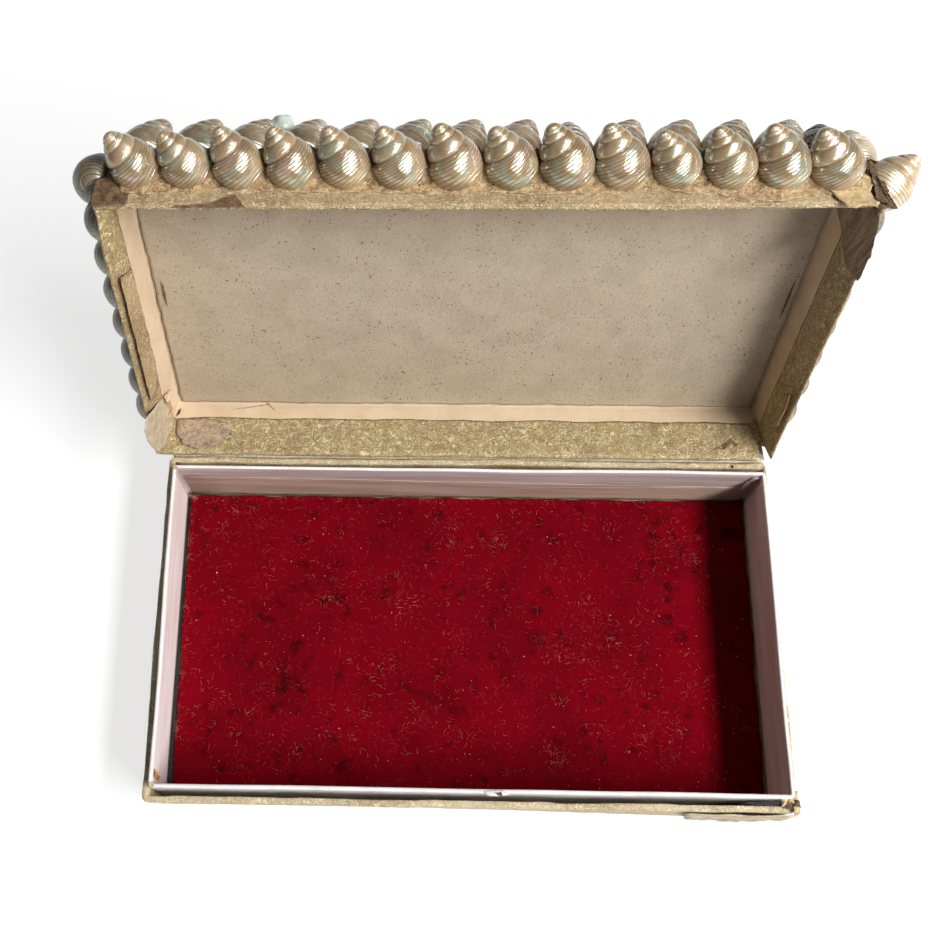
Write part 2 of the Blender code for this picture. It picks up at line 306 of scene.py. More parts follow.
def start_material(name, roughness, **constants):
    """A new material, its shader and its Object coordinates. The constants go on the shader's own sockets."""
    made = bpy.data.materials.new(name)
    made.use_nodes = True
    shader = made.node_tree.nodes["Principled BSDF"]
    shader.inputs["Roughness"].default_value = roughness
    for key, value in constants.items():
        shader.inputs[key.replace("_", " ")].default_value = value
    return made, shader, add(made.node_tree, "TexCoord").outputs["Object"]


def noise(place, size, detail=3.0, rough=0.55, seed=0.0, warp=0.0):
    """A noise of this size in mm. The seed moves it to another part of the field."""
    shift = (seed, seed * 0.7, -seed)
    moved = add(place.id_data, "VectorMath", {0: place, 1: shift}, operation="ADD").outputs[0]
    inputs = {"Vector": moved, "Scale": per(size), "Detail": detail, "Roughness": rough, "Distortion": warp}
    return add(place.id_data, "TexNoise", inputs).outputs["Fac"]


def stretch(place, streak):
    """The coordinates scaled by three numbers: a small one draws a pattern out along that axis."""
    return add(place.id_data, "Mapping", {"Vector": place, "Scale": streak}).outputs[0]


def sums(*terms):
    """Sum of value * weight."""
    total = 0.0
    for value, weight in terms:
        total = calc("MULTIPLY_ADD", value, weight, total)
    return total


def from_half(value):
    """|value - 1/2|: how far a noise is from its middle, which is small along its contour lines."""
    return calc("ABSOLUTE", calc("SUBTRACT", value, 0.5))


def finish_with(shader, colour, height=None, depth=0.0):
    """Links the colour, and a bump of this depth in mm where height is 1."""
    tree = shader.id_data
    tree.links.new(colour, shader.inputs["Base Color"])
    if height:
        inputs = {"Height": height, "Strength": 1.0, "Distance": depth * MM}
        tree.links.new(add(tree, "Bump", inputs).outputs[0], shader.inputs["Normal"])


print("mid grey #808080 in linear light:", round(linear("#808080")[0], 3))

# %% [markdown]
# ### Embossed cover paper
# A cream paper rolled with a small scrolled relief, the kind that covers old gift boxes. The raised
# threads are the contour lines of a warped noise: wherever the noise is near one half. They are a tenth
# of a millimetre high, so they are bump. Handling has worn them pale, and dirt lies between them.

# %% Embossed papers


SCROLLS = ((2.1, 0.0, 0.045), (1.3, 3.0, 0.04), (0.8, 6.0, 0.025))


def embossed_paper(name, ground, thread, dirt, seed, foxed=0.0, rust="#B4682A", depth=0.14):
    """Thread = 1 - |noise - 1/2| / width, the most of the scrolls (size, seed shift, width)."""
    made, shader, place = start_material(name, 0.6, IOR=1.45)
    line = None
    for size, offset, width in SCROLLS:
        scroll = noise(place, size, 1.0, 0.5, seed + offset, 1.7)
        raised = fit(from_half(scroll), 0.3 * width, width, 1.0, 0.0)
        line = calc("MAXIMUM", line, raised) if line else raised
    broken = fit(noise(place, 3.0, 2, 0.5, seed + 1), 0.3, 0.55, 0.3, 1.0)
    line = calc("MULTIPLY", line, broken)
    blot = noise(place, 17, 5, 0.62, seed + 2, 0.6)
    grain = noise(place, 0.7, 3, 0.65, seed + 3)
    colour = mix(fit(blot, 0.38, 0.66), ground, dirt)
    colour = mix(fit(grain, 0.35, 0.7, 0.0, 0.55), colour, dirt, "MULTIPLY")
    colour = mix(calc("MULTIPLY", line, 0.8), colour, thread)
    if foxed:
        spots = noise(place, 5, 4, 0.7, seed + 4, 0.8)
        colour = mix(fit(spots, 0.66 - 0.05 * foxed, 0.72, 0.0, 0.85), colour, rust)
    finish_with(shader, colour, sums((line, 1.0), (grain, 0.4), (scroll, 0.5)), depth)
    return made


# Cover: cream with olive dirt. Hinge: paler, because the lid shaded it, with rust spots from damp. Turned
# in: pale threads on a brown ground. Lid: browned all over, and its threads stand out least.
cover_paper = embossed_paper("embossed_cover_paper", "#D8C49A", "#F0E2C0", "#B2966A", 0.3, 0.8)
hinge_paper = embossed_paper("embossed_hinge_paper", "#E4DAC2", "#F6F0E0", "#CBBD96", 0.5, 2.8, "#B5793C")
turn_in_paper = embossed_paper("embossed_turned_in_paper", "#A28858", "#EAD9A8", "#947850", 0.9)
lid_paper = embossed_paper("embossed_lid_paper", "#BCA077", "#E0CCA2", "#93744A", 1.7)
print("scroll sizes, mm:", [size for size, _, _ in SCROLLS])

# %% [markdown]
# ### Plain papers
# The lid is lined with a plain peach paper and a speckled, foxed panel. The neck is white outside and a
# streaky lilac pink inside. All are uncoated, so they are rough, with fibres just large enough to see.
# The panel has painted shade high up, by the front wall of the open lid: the shadow that this wall casts.

# %% Plain papers


def plain_paper(name, light, shade, speck_and_shade, seed, streak=(1, 1, 1), specks=0.3, depth=0.05, painted_shade_full=None):
    """Two tones over stretched noise, specks where a fine noise peaks, and painted shade up to a height in
    metres.
    """
    made, shader, place = start_material(name, 0.72, IOR=1.45)
    drawn = stretch(place, streak)
    tone = noise(drawn, 11, 5, 0.62, seed, 0.4)
    grain = noise(place, 0.5, 3, 0.7, seed + 1)
    colour = mix(fit(tone, 0.34, 0.68), light, shade)
    colour = mix(fit(grain, 0.35, 0.8, 0.0, 0.6), colour, shade)
    rare = fit(noise(place, 7, 2, 0.5, seed + 3), 0.35, 0.7, -0.03, 0.03)
    fine = calc("ADD", noise(place, 0.62, 0.5, 0.5, seed + 2), rare)
    dots = fit(fine, 0.8 - 0.04 * specks, 0.83 - 0.04 * specks, 0.0, 0.9)
    colour = mix(dots, colour, speck_and_shade)
    if painted_shade_full:
        # On the panel only: more grain, then painted shade, darker towards the top, for the front wall's
        # shadow.
        colour = mix(fit(grain, 0.42, 0.72, 0.0, 0.2), colour, speck_and_shade)
        level = add(place.id_data, "SeparateXYZ", {0: place}).outputs[2]
        colour = mix(fit(level, painted_shade_full - 0.04, painted_shade_full, 0.0, 0.4), colour, speck_and_shade)
        colour = mix(fit(level, painted_shade_full - 0.009, painted_shade_full, 0.0, 0.75), colour, speck_and_shade)
    finish_with(shader, colour, sums((grain, 1.0), (tone, 1.5)), depth)
    return made


# The height in metres where the panel's painted shade is full.
PAINTED_SHADE_FULL = 122.0 * MM
peach_paper = plain_paper("plain_peach_paper", "#D4BEA2", "#C8B090", "#7A5636", 2.1, specks=0.6)
panel_paper = plain_paper("foxed_lining_paper", "#BEAE96", "#B2A28A", "#5E4630", 2.9,
                          specks=2.2, depth=0.2, painted_shade_full=PAINTED_SHADE_FULL)
white_paper = plain_paper("white_neck_paper", "#F2EFEF", "#DAD5D6", "#8C7A70", 3.7)
pink_paper = plain_paper("streaked_pink_paper", "#EEE5E3", "#DAC7C4", "#6E5050", 4.3, (0.25, 0.25, 1.6))
# A darker copy of the pink paper for the inside of the neck's back wall: partly its own lilac, partly painted
# shade.
lilac_and_shade_paper = plain_paper("streaked_lilac_paper_with_painted_shade", "#CDBDBB", "#B09A96", "#6E5050", 4.9, (0.15, 1, 3.0))
brown_paper = plain_paper("browned_pink_paper", "#C2A898", "#A58A7A", "#5E4438", 5.3, (0.2, 1, 2.0))
# Shows the height where the panel's painted shade is full.
print("the panel's soot is full at", round(PAINTED_SHADE_FULL / MM, 1), "mm")

# %% [markdown]
# ### Age and repair
# Old glue, clear tape that has gone brown, the torn core of the board, and a loose greyish sheet under
# the cover paper. Glue and tape are smoother than paper, so they keep a dull shine. Tape and sheets are
# streaked the way they were pulled, the split board shows its layers, and the glue has cracked.

# %% Finishes of the worn places


def aged(name, light, dark, roughness, seed, streak=(1, 1, 1), size=3.0, depth=0.12, cracks=0.0):
    """Two tones over a noise stretched along layers or streaks, and cracks along a noise's contour lines."""
    made, shader, place = start_material(name, roughness, IOR=1.48)
    drawn = stretch(place, streak)
    tone = noise(drawn, size, 5, 0.68, seed, 0.7)
    grain = noise(place, 0.6, 3, 0.65, seed + 1)
    away = from_half(noise(place, size * 1.6, 2, 0.5, seed + 2, 1.5))
    colour = mix(fit(tone, 0.36, 0.64), light, dark)
    colour = mix(fit(grain, 0.4, 0.75, 0.0, 0.5), colour, dark)
    colour = mix(fit(away, 0.0, 0.03, cracks, 0.0), colour, dark, "MULTIPLY")
    finish_with(shader, colour, sums((tone, 1.0), (grain, 0.5)), depth)
    return made


old_glue = aged("dried_brown_glue", "#C6AA7C", "#8E7048", 0.6, 11.0, size=1.5, depth=0.45, cracks=0.95)
amber_glue = aged("clear_amber_glue", "#B87A34", "#8A5420", 0.2, 11.6)
old_tape = aged("browned_clear_tape", "#A39078", "#5C4630", 0.3, 12.1, (1, 1, 0.15), 2.0)
tape_ground = aged("tape_on_board", "#8C6E50", "#5C4430", 0.5, 12.7, size=3.0, cracks=0.6)
lilac_sheet = aged("loose_lilac_sheet", "#CDBC9C", "#AE9E8C", 0.6, 13.2, (0.3, 1, 1), 2.5, 0.2, 0.5)
lilac_stain = aged("lilac_stained_paper", "#BCA684", "#948070", 0.7, 17.7, size=2.2, depth=0.35, cracks=0.8)
torn_paper = aged("torn_pale_paper", "#D2BC8E", "#AE9264", 0.75, 13.9, size=2.0, depth=0.25)
torn_board = aged("split_board_core", "#8A6A44", "#3A2616", 0.85, 14.4, (3, 3, 0.5), 1.8, 0.5)
stained = aged("orange_stained_paper", "#C49A64", "#A67846", 0.7, 15.0)
# An olive line of painted shadow, for the shade where the neck's back meets the floor.
painted_foot_shadow = aged("olive_painted_foot_shadow", "#8C8064", "#4E4634", 0.6, 15.6, (0.3, 1, 1))
# Near black: painted shade in gaps and in a hole, and also the real black spot by the hinge.
painted_shade_and_black_spot = aged("near_black_painted_shade_and_spot", "#1C1614", "#120E0C", 0.9, 16.0)
torn_white = aged("torn_white_paper", "#D6C8AC", "#9C8768", 0.75, 16.4, (0.4, 1, 1), 1.6, 0.2)
sea_green = aged("pale_sea_green_shell", "#DDE6DC", "#C2CCC0", 0.35, 17.0)

# %% [markdown]
# ### Red flock
# Short fibre blown on to wet glue. Its nap scatters light back at grazing angles, which a little sheen
# gives. Tufts and bald blotches make it patchy, and dust sits in it.

# %% Flock
red_flock, shader, place = start_material(
    "red_flock", 0.95, IOR=1.3, Specular_IOR_Level=0.05, Sheen_Weight=0.005, Sheen_Roughness=0.4)
nap = noise(place, 0.45, 3, 0.7, 5.0)
tuft = noise(place, 4.4, 1, 0.45, 5.4, 0.25)
cloud = noise(place, 26, 4, 0.6, 5.9, 0.5)
patch = noise(place, 30, 3, 0.5, 6.8)
colour = mix(fit(cloud, 0.35, 0.68), "#7E0213", "#6A020E")
colour = mix(fit(nap, 0.35, 0.75, 0.0, 0.55), colour, "#4E0108")
worn = calc("ADD", tuft, fit(patch, 0.35, 0.65, -0.05, 0.06))
colour = mix(fit(worn, 0.56, 0.82, 0.0, 0.7), colour, "#30030A")
colour = mix(fit(noise(place, 0.8, 1, 0.5, 6.3), 0.785, 0.81, 0.0, 0.9), colour, "#E0B8A0")
finish_with(shader, colour, sums((nap, 1.0), (tuft, 0.8)), 0.35)

lint, shader, place = start_material("loose_lint", 0.8, IOR=1.4)
colour = mix(fit(noise(place, 6, 2, 0.5, 7.1), 0.5, 0.66), "#A83434", "#C4906A")
finish_with(shader, colour)
print("papers, glues and flock:", len(bpy.data.materials), "materials")

# %% [markdown]
# ### Mother of pearl
# The shells have been stripped of their outer skin, so the nacre shows: thin stacked plates that
# colour the gloss pink and sea green. A thin film on the shader does this the way the real one does.
# The shell's own UV map runs with the whorls: u counts cords, so a groove lies at each whole u, and v
# is 1 at a seam. The grooves are worn off the spire, so they fade in where u passes to the body.

# %% Pearl


NACRE = {"IOR": 1.95, "Specular_IOR_Level": 0.65, "Metallic": 0.25, "Thin_Film_Thickness": 134.0,
         "Thin_Film_IOR": 1.76}


def pearl(name, light, dark, groove, seed, tint_and_sheen=0.36, roughness=0.13):
    """Tones, pink drifts and green ones over slow noise, and a dip within 0.16 of each whole cord number."""
    made, shader, place = start_material(name, roughness, **NACRE)
    tree = shader.id_data
    lay = add(tree, "SeparateXYZ", {0: add(tree, "TexCoord").outputs["UV"]}).outputs
    dip = calc("SUBTRACT", fit(calc("PINGPONG", lay[0], 0.5), 0.0, 0.16), 1.0)
    on_body = fit(lay[0], -4.0, 2.0, 0.12, 1.0)
    cord = calc("MULTIPLY_ADD", dip, on_body, 1.0)
    tone = noise(place, 7, 3, 0.55, seed, 0.5)
    tint_and_sheen_drift = noise(place, 5.5, 1, 0.5, seed + 2, 0.5)
    fine = noise(place, 1.1, 3, 0.6, seed + 1)
    colour = mix(fit(tone, 0.38, 0.62), light, dark)
    # Pink and sea-green drifts: partly the nacre's own tint, partly a painted iridescent sheen.
    colour = mix(fit(tint_and_sheen_drift, 0.34, 0.48, tint_and_sheen, 0.0), colour, "#C8A8A0")
    colour = mix(fit(tint_and_sheen_drift, 0.52, 0.66, 0.0, tint_and_sheen), colour, "#AEC6B6")
    colour = mix(fit(fine, 0.45, 0.8, 0.0, 0.35), colour, dark)
    colour = mix(fit(lay[0], -24.0, -10.0, 0.5, 0.0), colour, "#D2B68C")
    # Darker in the grooves between the cords: painted shade.
    colour = mix(fit(cord, 0.2, 0.8, 0.1, 0.0), colour, groove)
    # Browner along the seams: partly the shell's own colour, partly painted shade in the sutures.
    colour = mix(fit(lay[1], 0.3, 1.0, 0.0, 0.35), colour, "#9A744C")
    finish_with(shader, colour, sums((cord, 1.0), (fine, 0.06)), 0.17)
    return made


pearly = pearl("mother_of_pearl", "#C2A880", "#9E835C", "#4E3620", 8.0)
pale_pearl = pearl("pale_mother_of_pearl", "#E0CCA6", "#C4A87E", "#74604A", 8.7, 0.2, 0.3)
# A darker, duller copy of the pearl for the shells on the end walls: its darkness is painted shade.
dull_pearl_painted_shade = pearl("dull_pearl_with_painted_shade", "#A48E6C", "#7A6848", "#4C3A26", 9.3, 0.1, 0.4)

brown_net, shader, place = start_material("brown_netted_shell", 0.3, IOR=1.5)
inputs = {"Vector": place, "Scale": per(1.1)}
cell = add(shader.id_data, "TexVoronoi", inputs, feature="DISTANCE_TO_EDGE").outputs["Distance"]
colour = mix(fit(noise(place, 3, 3, 0.5, 9.9), 0.4, 0.6), "#3A2A24", "#1E1512")
colour = mix(fit(cell, 0.03, 0.16, 0.85, 0.0), colour, "#8C8078")
finish_with(shader, colour, cell, 0.1)
print("materials made", len(bpy.data.materials))

# %% [markdown]
# ## The outer box
# Thick board with square corners that have rounded with wear. One profile runs from the underside, up
# the outside, over the rim and down the inside, and is carried round the rectangle. The two flat faces,
# under the box and in its well, close the surface. The front leans in to its foot, most at the left.

# %% Outer box
EDGE = 0.55
FOOT_IN = 2.0
END_IN = 0.8
long_side, short_side = outer_high[0] * 2, outer_high[1] * 2
box_path = path_round(long_side, short_side, 1.6)
height, floor_z = outer_high[2], 2.0
profile = np.array(
    [(EDGE, 0.0), (0.16, 0.16), (0.0, EDGE)]
    + [(0.0, z) for z in np.linspace(1.5, height - 1.5, 14)]
    + [(0.0, height - EDGE), (0.16, height - 0.16), (EDGE, height), (1.0, height)]
    + [(BOARD - 0.5, height), (BOARD - 0.14, height - 0.14), (BOARD, height - 0.5)]
    + [(BOARD, z) for z in np.linspace(height - 2, floor_z, 8)])
points = carry_up(box_path, outer_high[:2], 2.0, profile)
rows, columns = points.shape[:2]
sink = (0.16 * waves(points, 9, 11) + 0.22 * waves(points, 38, 12)) * smooth(points[..., 2], 0.5, 3.0)
points[..., :2] += sink[..., None] * box_path[1][None]
outside = profile[:, :1] < 1.2
at_front = smooth(-points[..., 1], short_side / 2 - 3, short_side / 2 - 1)
less_right = 1 - 0.6 * smooth(points[..., 0], -20, 80)
points[..., 1] += FOOT_IN * outside * (1 - points[..., 2] / height) * at_front * less_right
points[..., 0] -= END_IN * outside * smooth(points[..., 0], 80, 95)
at_rim = smooth(points[..., 2], height - 2, height)
points[..., 2] += 0.1 * (waves(points, 13, 13) - 1.6) * at_rim
faces = quads(rows, columns, wrap_columns=True).tolist() + caps(rows, columns)
outer_box = make_piece("outer_box_covered", points, faces, [cover_paper], "base")
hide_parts("outer_box")
print("outer box faces", len(faces))

# %% [markdown]
# ## The neck
# A thin card frame that stands in the box and keeps the lid in place. Its section is a closed loop with
# a rounded rim, so the surface is a ring. The outside and the rim are white, and the inside is pink.
# The back wall's inside is a darker lilac copy: partly its own colour, partly painted shade.

# %% Neck
CARD = 1.2
neck_path = path_round(neck_high[0] * 2, neck_high[1] * 2, 1.6)
top, foot = neck_high[2], neck_low[2]
out_z = np.linspace(foot, top - 0.5, 9)
profile = np.array(
    [(0.0, z) for z in out_z] + [(0.12, top - 0.16), (0.4, top), (CARD - 0.4, top), (CARD - 0.12, top - 0.16)]
    + [(CARD, z) for z in out_z[::-1]])
points = carry_up(neck_path, neck_high[:2], 1.3, profile)
rows, columns = points.shape[:2]
sway = 0.22 * smooth(points[..., 2], foot, top) * waves(on_flat(*points[..., :2].mean(0).T)[None], 45, 21)
points[..., :2] += sway[..., None] * neck_path[1][None]
points[..., 2] += 0.10 * waves(points, 16, 22) * smooth(points[..., 2], top - 1, top)
faces = quads(rows, columns, True, True)
inside = np.repeat(np.arange(rows) >= len(out_z) + 3, columns)
face_y = points.reshape(-1, 3)[faces].mean(1)[:, 1]
# Faces inside the back wall, which get the darker paper with painted shade.
back_wall_painted_shade = inside & (face_y > neck_high[1] - CARD - 1.0)
neck = make_piece("neck_frame", points, faces.tolist(), [white_paper, pink_paper, lilac_and_shade_paper], "base",
                  inside.astype(int) + back_wall_painted_shade)
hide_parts("neck")
print("neck faces: outside", int((~inside).sum()), "inside", int(inside.sum()))

# %% [markdown]
# ## The flocked floor
# A card with red flock. The nap is uneven, so the top is a fine grid with small waves, and the card was
# cut by hand a little short of the neck. Solidify gives it the card's thickness.

# %% Floor card
card_half = (card_high[:2] - card_low[:2]) / 2
u, v = np.meshgrid(np.linspace(-1, 1, 260), np.linspace(-1, 1, 140))
x, y = u * (card_half[0] - 0.1), v * (card_half[1] - 0.1)
x = x - 0.35 * np.abs(u) ** 40 * np.sign(u) * (1 + waves(on_flat(y), 9, 31))
y = y - 0.3 * np.abs(v) ** 40 * np.sign(v) * (1 + waves(on_flat(x), 9, 32))
x = x + 1.0 * smooth(-u, 0.985, 1.0) * (0.7 - 0.3 * v)
z = card_high[2] - 0.12 + 0.06 * waves(on_flat(x, y), 3.0, 33) + 0.06 * waves(on_flat(x, y), 12, 34)
points = np.stack([x, y, z], -1)
floor_card = make_piece("flocked_floor", points, quads(140, 260).tolist(), [red_flock], "base")
thicken(floor_card, 0.6, -1.0)
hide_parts("floor_card")
print("floor card height, mm:", z.min().round(2), "to", z.max().round(2))

# %% [markdown]
# ## The lid
# A shallow tray, built like the box but with leaning ends. The profile runs from the top's outer edge
# down to the rim and back up the inside, where the board is lined with plain peach paper. Wear has
# thinned the end rims and lowered the front one, and the back right corner has split.

# %% Lid
RIM = 0.3
lid_half = np.array([98.0, LID_LENGTH / 2])
lid_path = path_round(196, LID_LENGTH, 1.4)


def lid_tray(inset, w, radius=1.6):
    """Lid points for profile rows (inset, w): the rounded rectangle, stretched between the leaning walls."""
    ground = carry(lid_path, lid_half, radius, inset)
    inset, w = np.asarray(inset, float)[:, None], np.asarray(w, float)[:, None]
    across = ground[..., 0] / (lid_half[0] - inset)
    v = LID_LENGTH / 2 - ground[..., 1]
    left, right = wall_x(0, v, w) + inset, wall_x(1, v, w) - inset
    x = (left + right) / 2 + across * (right - left) / 2
    at_end = smooth(np.abs(across), 0.97, 0.999)
    thinned = 0.62 * np.minimum(inset, BOARD) * (1 - smooth(w, 0.5, 8.0)) * at_end
    return x + np.sign(x) * thinned, v, np.broadcast_to(w, x.shape)


def rim_rise(x, v, w):
    """Extra w: where the front rim has worn away, more to the right and none above w = 7, and in a narrow
    wedge at the back right corner, which has split."""
    worn = (1.7 + 1.1 * smooth(x, 40, 96)) * smooth(v, 96, 105) * (1 - smooth(w, 0.5, 7.0))
    split_x = wall_x(1, 0.0, w) - 1.9
    split = 11.0 * np.maximum(1 - np.abs(x - split_x) / 1.9, 0) * (v < 2.6) * (1 - smooth(w, 0.5, 20.0))
    return worn + split


profile = np.array(
    [(EDGE, LID_TOP), (0.16, LID_TOP - 0.16), (0.0, LID_TOP - EDGE)]
    + [(0.0, w) for w in np.linspace(LID_TOP - 1.5, 1.2, 16)]
    + [(0.0, RIM + 0.4), (0.12, RIM + 0.12), (0.4, RIM), (1.0, RIM), (BOARD - 0.4, RIM), (BOARD, RIM + 0.4)]
    + [(BOARD, w) for w in np.linspace(1.5, LID_DEPTH, 14)])
x, v, w = lid_tray(profile[:, 0], profile[:, 1])
rows, columns = x.shape
layout = np.stack([x, v, w], -1)
push = 0.14 * waves(layout, 8, 41) + 0.18 * waves(layout, 30, 42)
push *= smooth(LID_TOP - w, 0.2, 3.0) * np.where(profile[:, :1] < 1.5, 1.0, 0.15)
x = x + push * lid_path[1][None, :, 0]
v = v - push * lid_path[1][None, :, 1]
w = w + 0.12 * waves(layout, 12, 43) * smooth(-w, -2.0, 0.0)
w = w + rim_rise(x, v, w)
points = on_lid(x, v, w)
faces = quads(rows, columns, wrap_columns=True)[:, ::-1].tolist()
faces += caps(rows, columns, flip=True)
lined = np.repeat(profile[:-1, 0] >= BOARD, columns).astype(int)
chosen = np.concatenate([lined, [0, 1]])
lid = make_piece("lid_tray", points, faces, [lid_paper, peach_paper], "lid", chosen)
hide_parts("lid")
print("the tray's lower edge, mm:", w.min(0).min().round(2), "to", w.min(0).max().round(2))

# %% [markdown]
# The covering paper is turned over the rim and pasted down inside. Its cut edge wanders, and below it
# the plain paper shows. The sheet stands a little proud of the wall, which gives the thin shadow line.

# %% Turned-in paper
PROUD = 0.22
CUT_DEPTHS = np.array([11.7, 13.7, 9.4, 12.0])  # right, back, left and front wall


def turn_in_edge(n):
    """Depth of the paper's cut edge along the path: one value a wall, blended round the corners."""
    weight = np.stack([np.maximum(way, 0) ** 2 for way in (n[:, 0], n[:, 1], -n[:, 0], -n[:, 1])])
    return (weight * CUT_DEPTHS[:, None]).sum(0) / weight.sum(0)


edge = turn_in_edge(lid_path[1])
wander = on_flat(lid_path[0][:, 0] * 97, lid_path[0][:, 1] * 54)
edge = edge + 0.28 * waves(wander, 14, 51) + 0.12 * waves(wander, 3, 52)
down = np.linspace(0, 1, 16)[:, None]
over_rim = np.array([(0.5, RIM + 0.5), (0.7, RIM - 0.04), (1.0, RIM - PROUD), (BOARD - 0.3, RIM - PROUD)])
inset = np.concatenate([over_rim[:, 0], [BOARD + PROUD] * 16, [BOARD - 0.2] * 2])
w = np.concatenate([
    np.repeat(over_rim[:, 1:], len(edge), 1), 0.9 + (edge[None] - 0.9) * down,
    edge[None] - 0.1, np.full((1, len(edge)), RIM + 0.6)])
middle_w = w.mean(1)[:, None]
x, v, _ = lid_tray(inset, w.mean(1))
left_shift = wall_x(0, v, w) - wall_x(0, v, middle_w)
right_shift = wall_x(1, v, w) - wall_x(1, v, middle_w)
middle_x = (wall_x(0, v, middle_w) + wall_x(1, v, middle_w)) / 2
x = x + np.where(x < middle_x, left_shift, right_shift)
rows, columns = x.shape
layout = np.stack([x, v, w], -1)
bump = 0.05 * waves(layout, 4, 53) + 0.06 * waves(layout, 11, 54)
bump *= (np.arange(rows) < rows - 2)[:, None]
x = x - bump * lid_path[1][None, :, 0]
v = v + bump * lid_path[1][None, :, 1]
w = w + rim_rise(x, v, w)
faces = quads(rows, columns, True, True)[:, ::-1].tolist()
turn_in = make_piece("turned_in_paper", on_lid(x, v, w), faces, [turn_in_paper], "lid")
print("turned-in paper's cut edge, mm:", edge.min().round(1), "to", edge.max().round(1))

# %% [markdown]
# The speckled panel is a sheet of lining paper pasted on the inside of the top. It has cockled a little
# and its edges are ragged, so it is a fine grid whose border rows are moved in and out.

# %% Lining panel
u, s = np.meshgrid(np.linspace(0, 1, 200), np.linspace(0, 1, 112))
v = BOARD + 1.0 + (LID_LENGTH - 2 * BOARD - 2.0) * s
left, right = wall_x(0, v, LID_DEPTH) + BOARD + 1.0, wall_x(1, v, LID_DEPTH) - BOARD - 1.0
x = left + (right - left) * u
ragged = on_flat(x, v)
end_pull = np.abs(2 * u - 1) ** 30 * np.sign(0.5 - u)
side_pull = np.abs(2 * s - 1) ** 30 * np.sign(0.5 - s)
x = x + (0.3 * waves(ragged, 5, 61) + 0.15 * waves(ragged, 1.6, 62)) * end_pull
v = v + 0.3 * waves(ragged, 5, 63) * side_pull
w = LID_DEPTH - 0.65 + 0.10 * waves(ragged, 26, 64) + 0.05 * waves(ragged, 9, 65)
panel = make_piece("lining_panel", on_lid(x, v, w), quads(112, 200).tolist(), [panel_paper], "lid")
thicken(panel, 0.3, -1.0)
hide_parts("lid_lining")
print("panel, mm:", (x.max() - x.min()).round(1), "by", (v.max() - v.min()).round(1))

# %% [markdown]
# ## The paper hinge
# One strip of covering paper is pasted down the back of the box and on along the lid's back wall. It is
# the only piece that bends in the real box; here it is one fixed sheet, shaped on the base below the fold
# and on the open lid beyond it, and it rides on neither body.

# %% Hinge strip
strip_low, strip_high = place_of("hinge_paper")
ACROSS = 150
base_z = np.linspace(strip_low[2], hinge[2] - 1.6, 10)
on_base = np.stack([np.full(10, strip_low[1] + 0.15), base_z], -1)
fold = hinge[1:] + np.array([[0.52, -1.1], [0.75, -0.75], [1.2, -0.58]])
lid_w = np.linspace(1.9, 9.0, 9)
on_back = on_lid(0.0, np.full(9, -0.35), lid_w)[:, 1:]
line = np.concatenate([on_base, fold, on_back])
x = np.linspace(strip_low[0], strip_high[0], ACROSS)
points = np.stack(np.broadcast_arrays(x[None], line[:, :1], line[:, 1:]), -1)
points[..., 1:] += (0.05 * waves(points, 12, 71))[..., None]
faces = quads(len(line), ACROSS)[:, ::-1].tolist()
hinge_strip = make_piece("hinge_strip", points, faces, [hinge_paper], None)
thicken(hinge_strip, 0.25)
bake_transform(hinge_strip)
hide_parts("hinge_paper")
print("hinge strip's width, mm:", np.linalg.norm(np.diff(line, axis=0), axis=1).sum().round(1))

# %% [markdown]
# ## Turban shells
# A turban shell grows by turning and swelling at once, so its seams follow a logarithmic spiral: the
# distance down the axis grows by the same factor each turn. The outline is a cone with a round belly.
# On it the whorl number W = ln(s / s0) / ln(growth) + turn says where the surface is in the spiral:
# whole W is a seam, and whole W times the cord count is a groove between two cords.

# %% The shell surface
SHELL_RADIUS, SHELL_HEIGHT, SHELL_MIDDLE = 6.5, 17.0, 0.62


def outline(s):
    """Radius share at share s down the axis: a power of sin(pi s / 2m), blunt at the tip, then a base."""
    climb = np.clip(s / SHELL_MIDDLE, 0, 1)
    spire = np.sin(np.pi / 2 * climb) ** (0.82 - 0.34 * (1 - climb) ** 5)
    belly = np.clip((s - SHELL_MIDDLE) / (1 - SHELL_MIDDLE), 0, 1)
    return np.where(s < SHELL_MIDDLE, spire, np.sqrt(np.maximum(1 - belly ** 2.2, 0)))


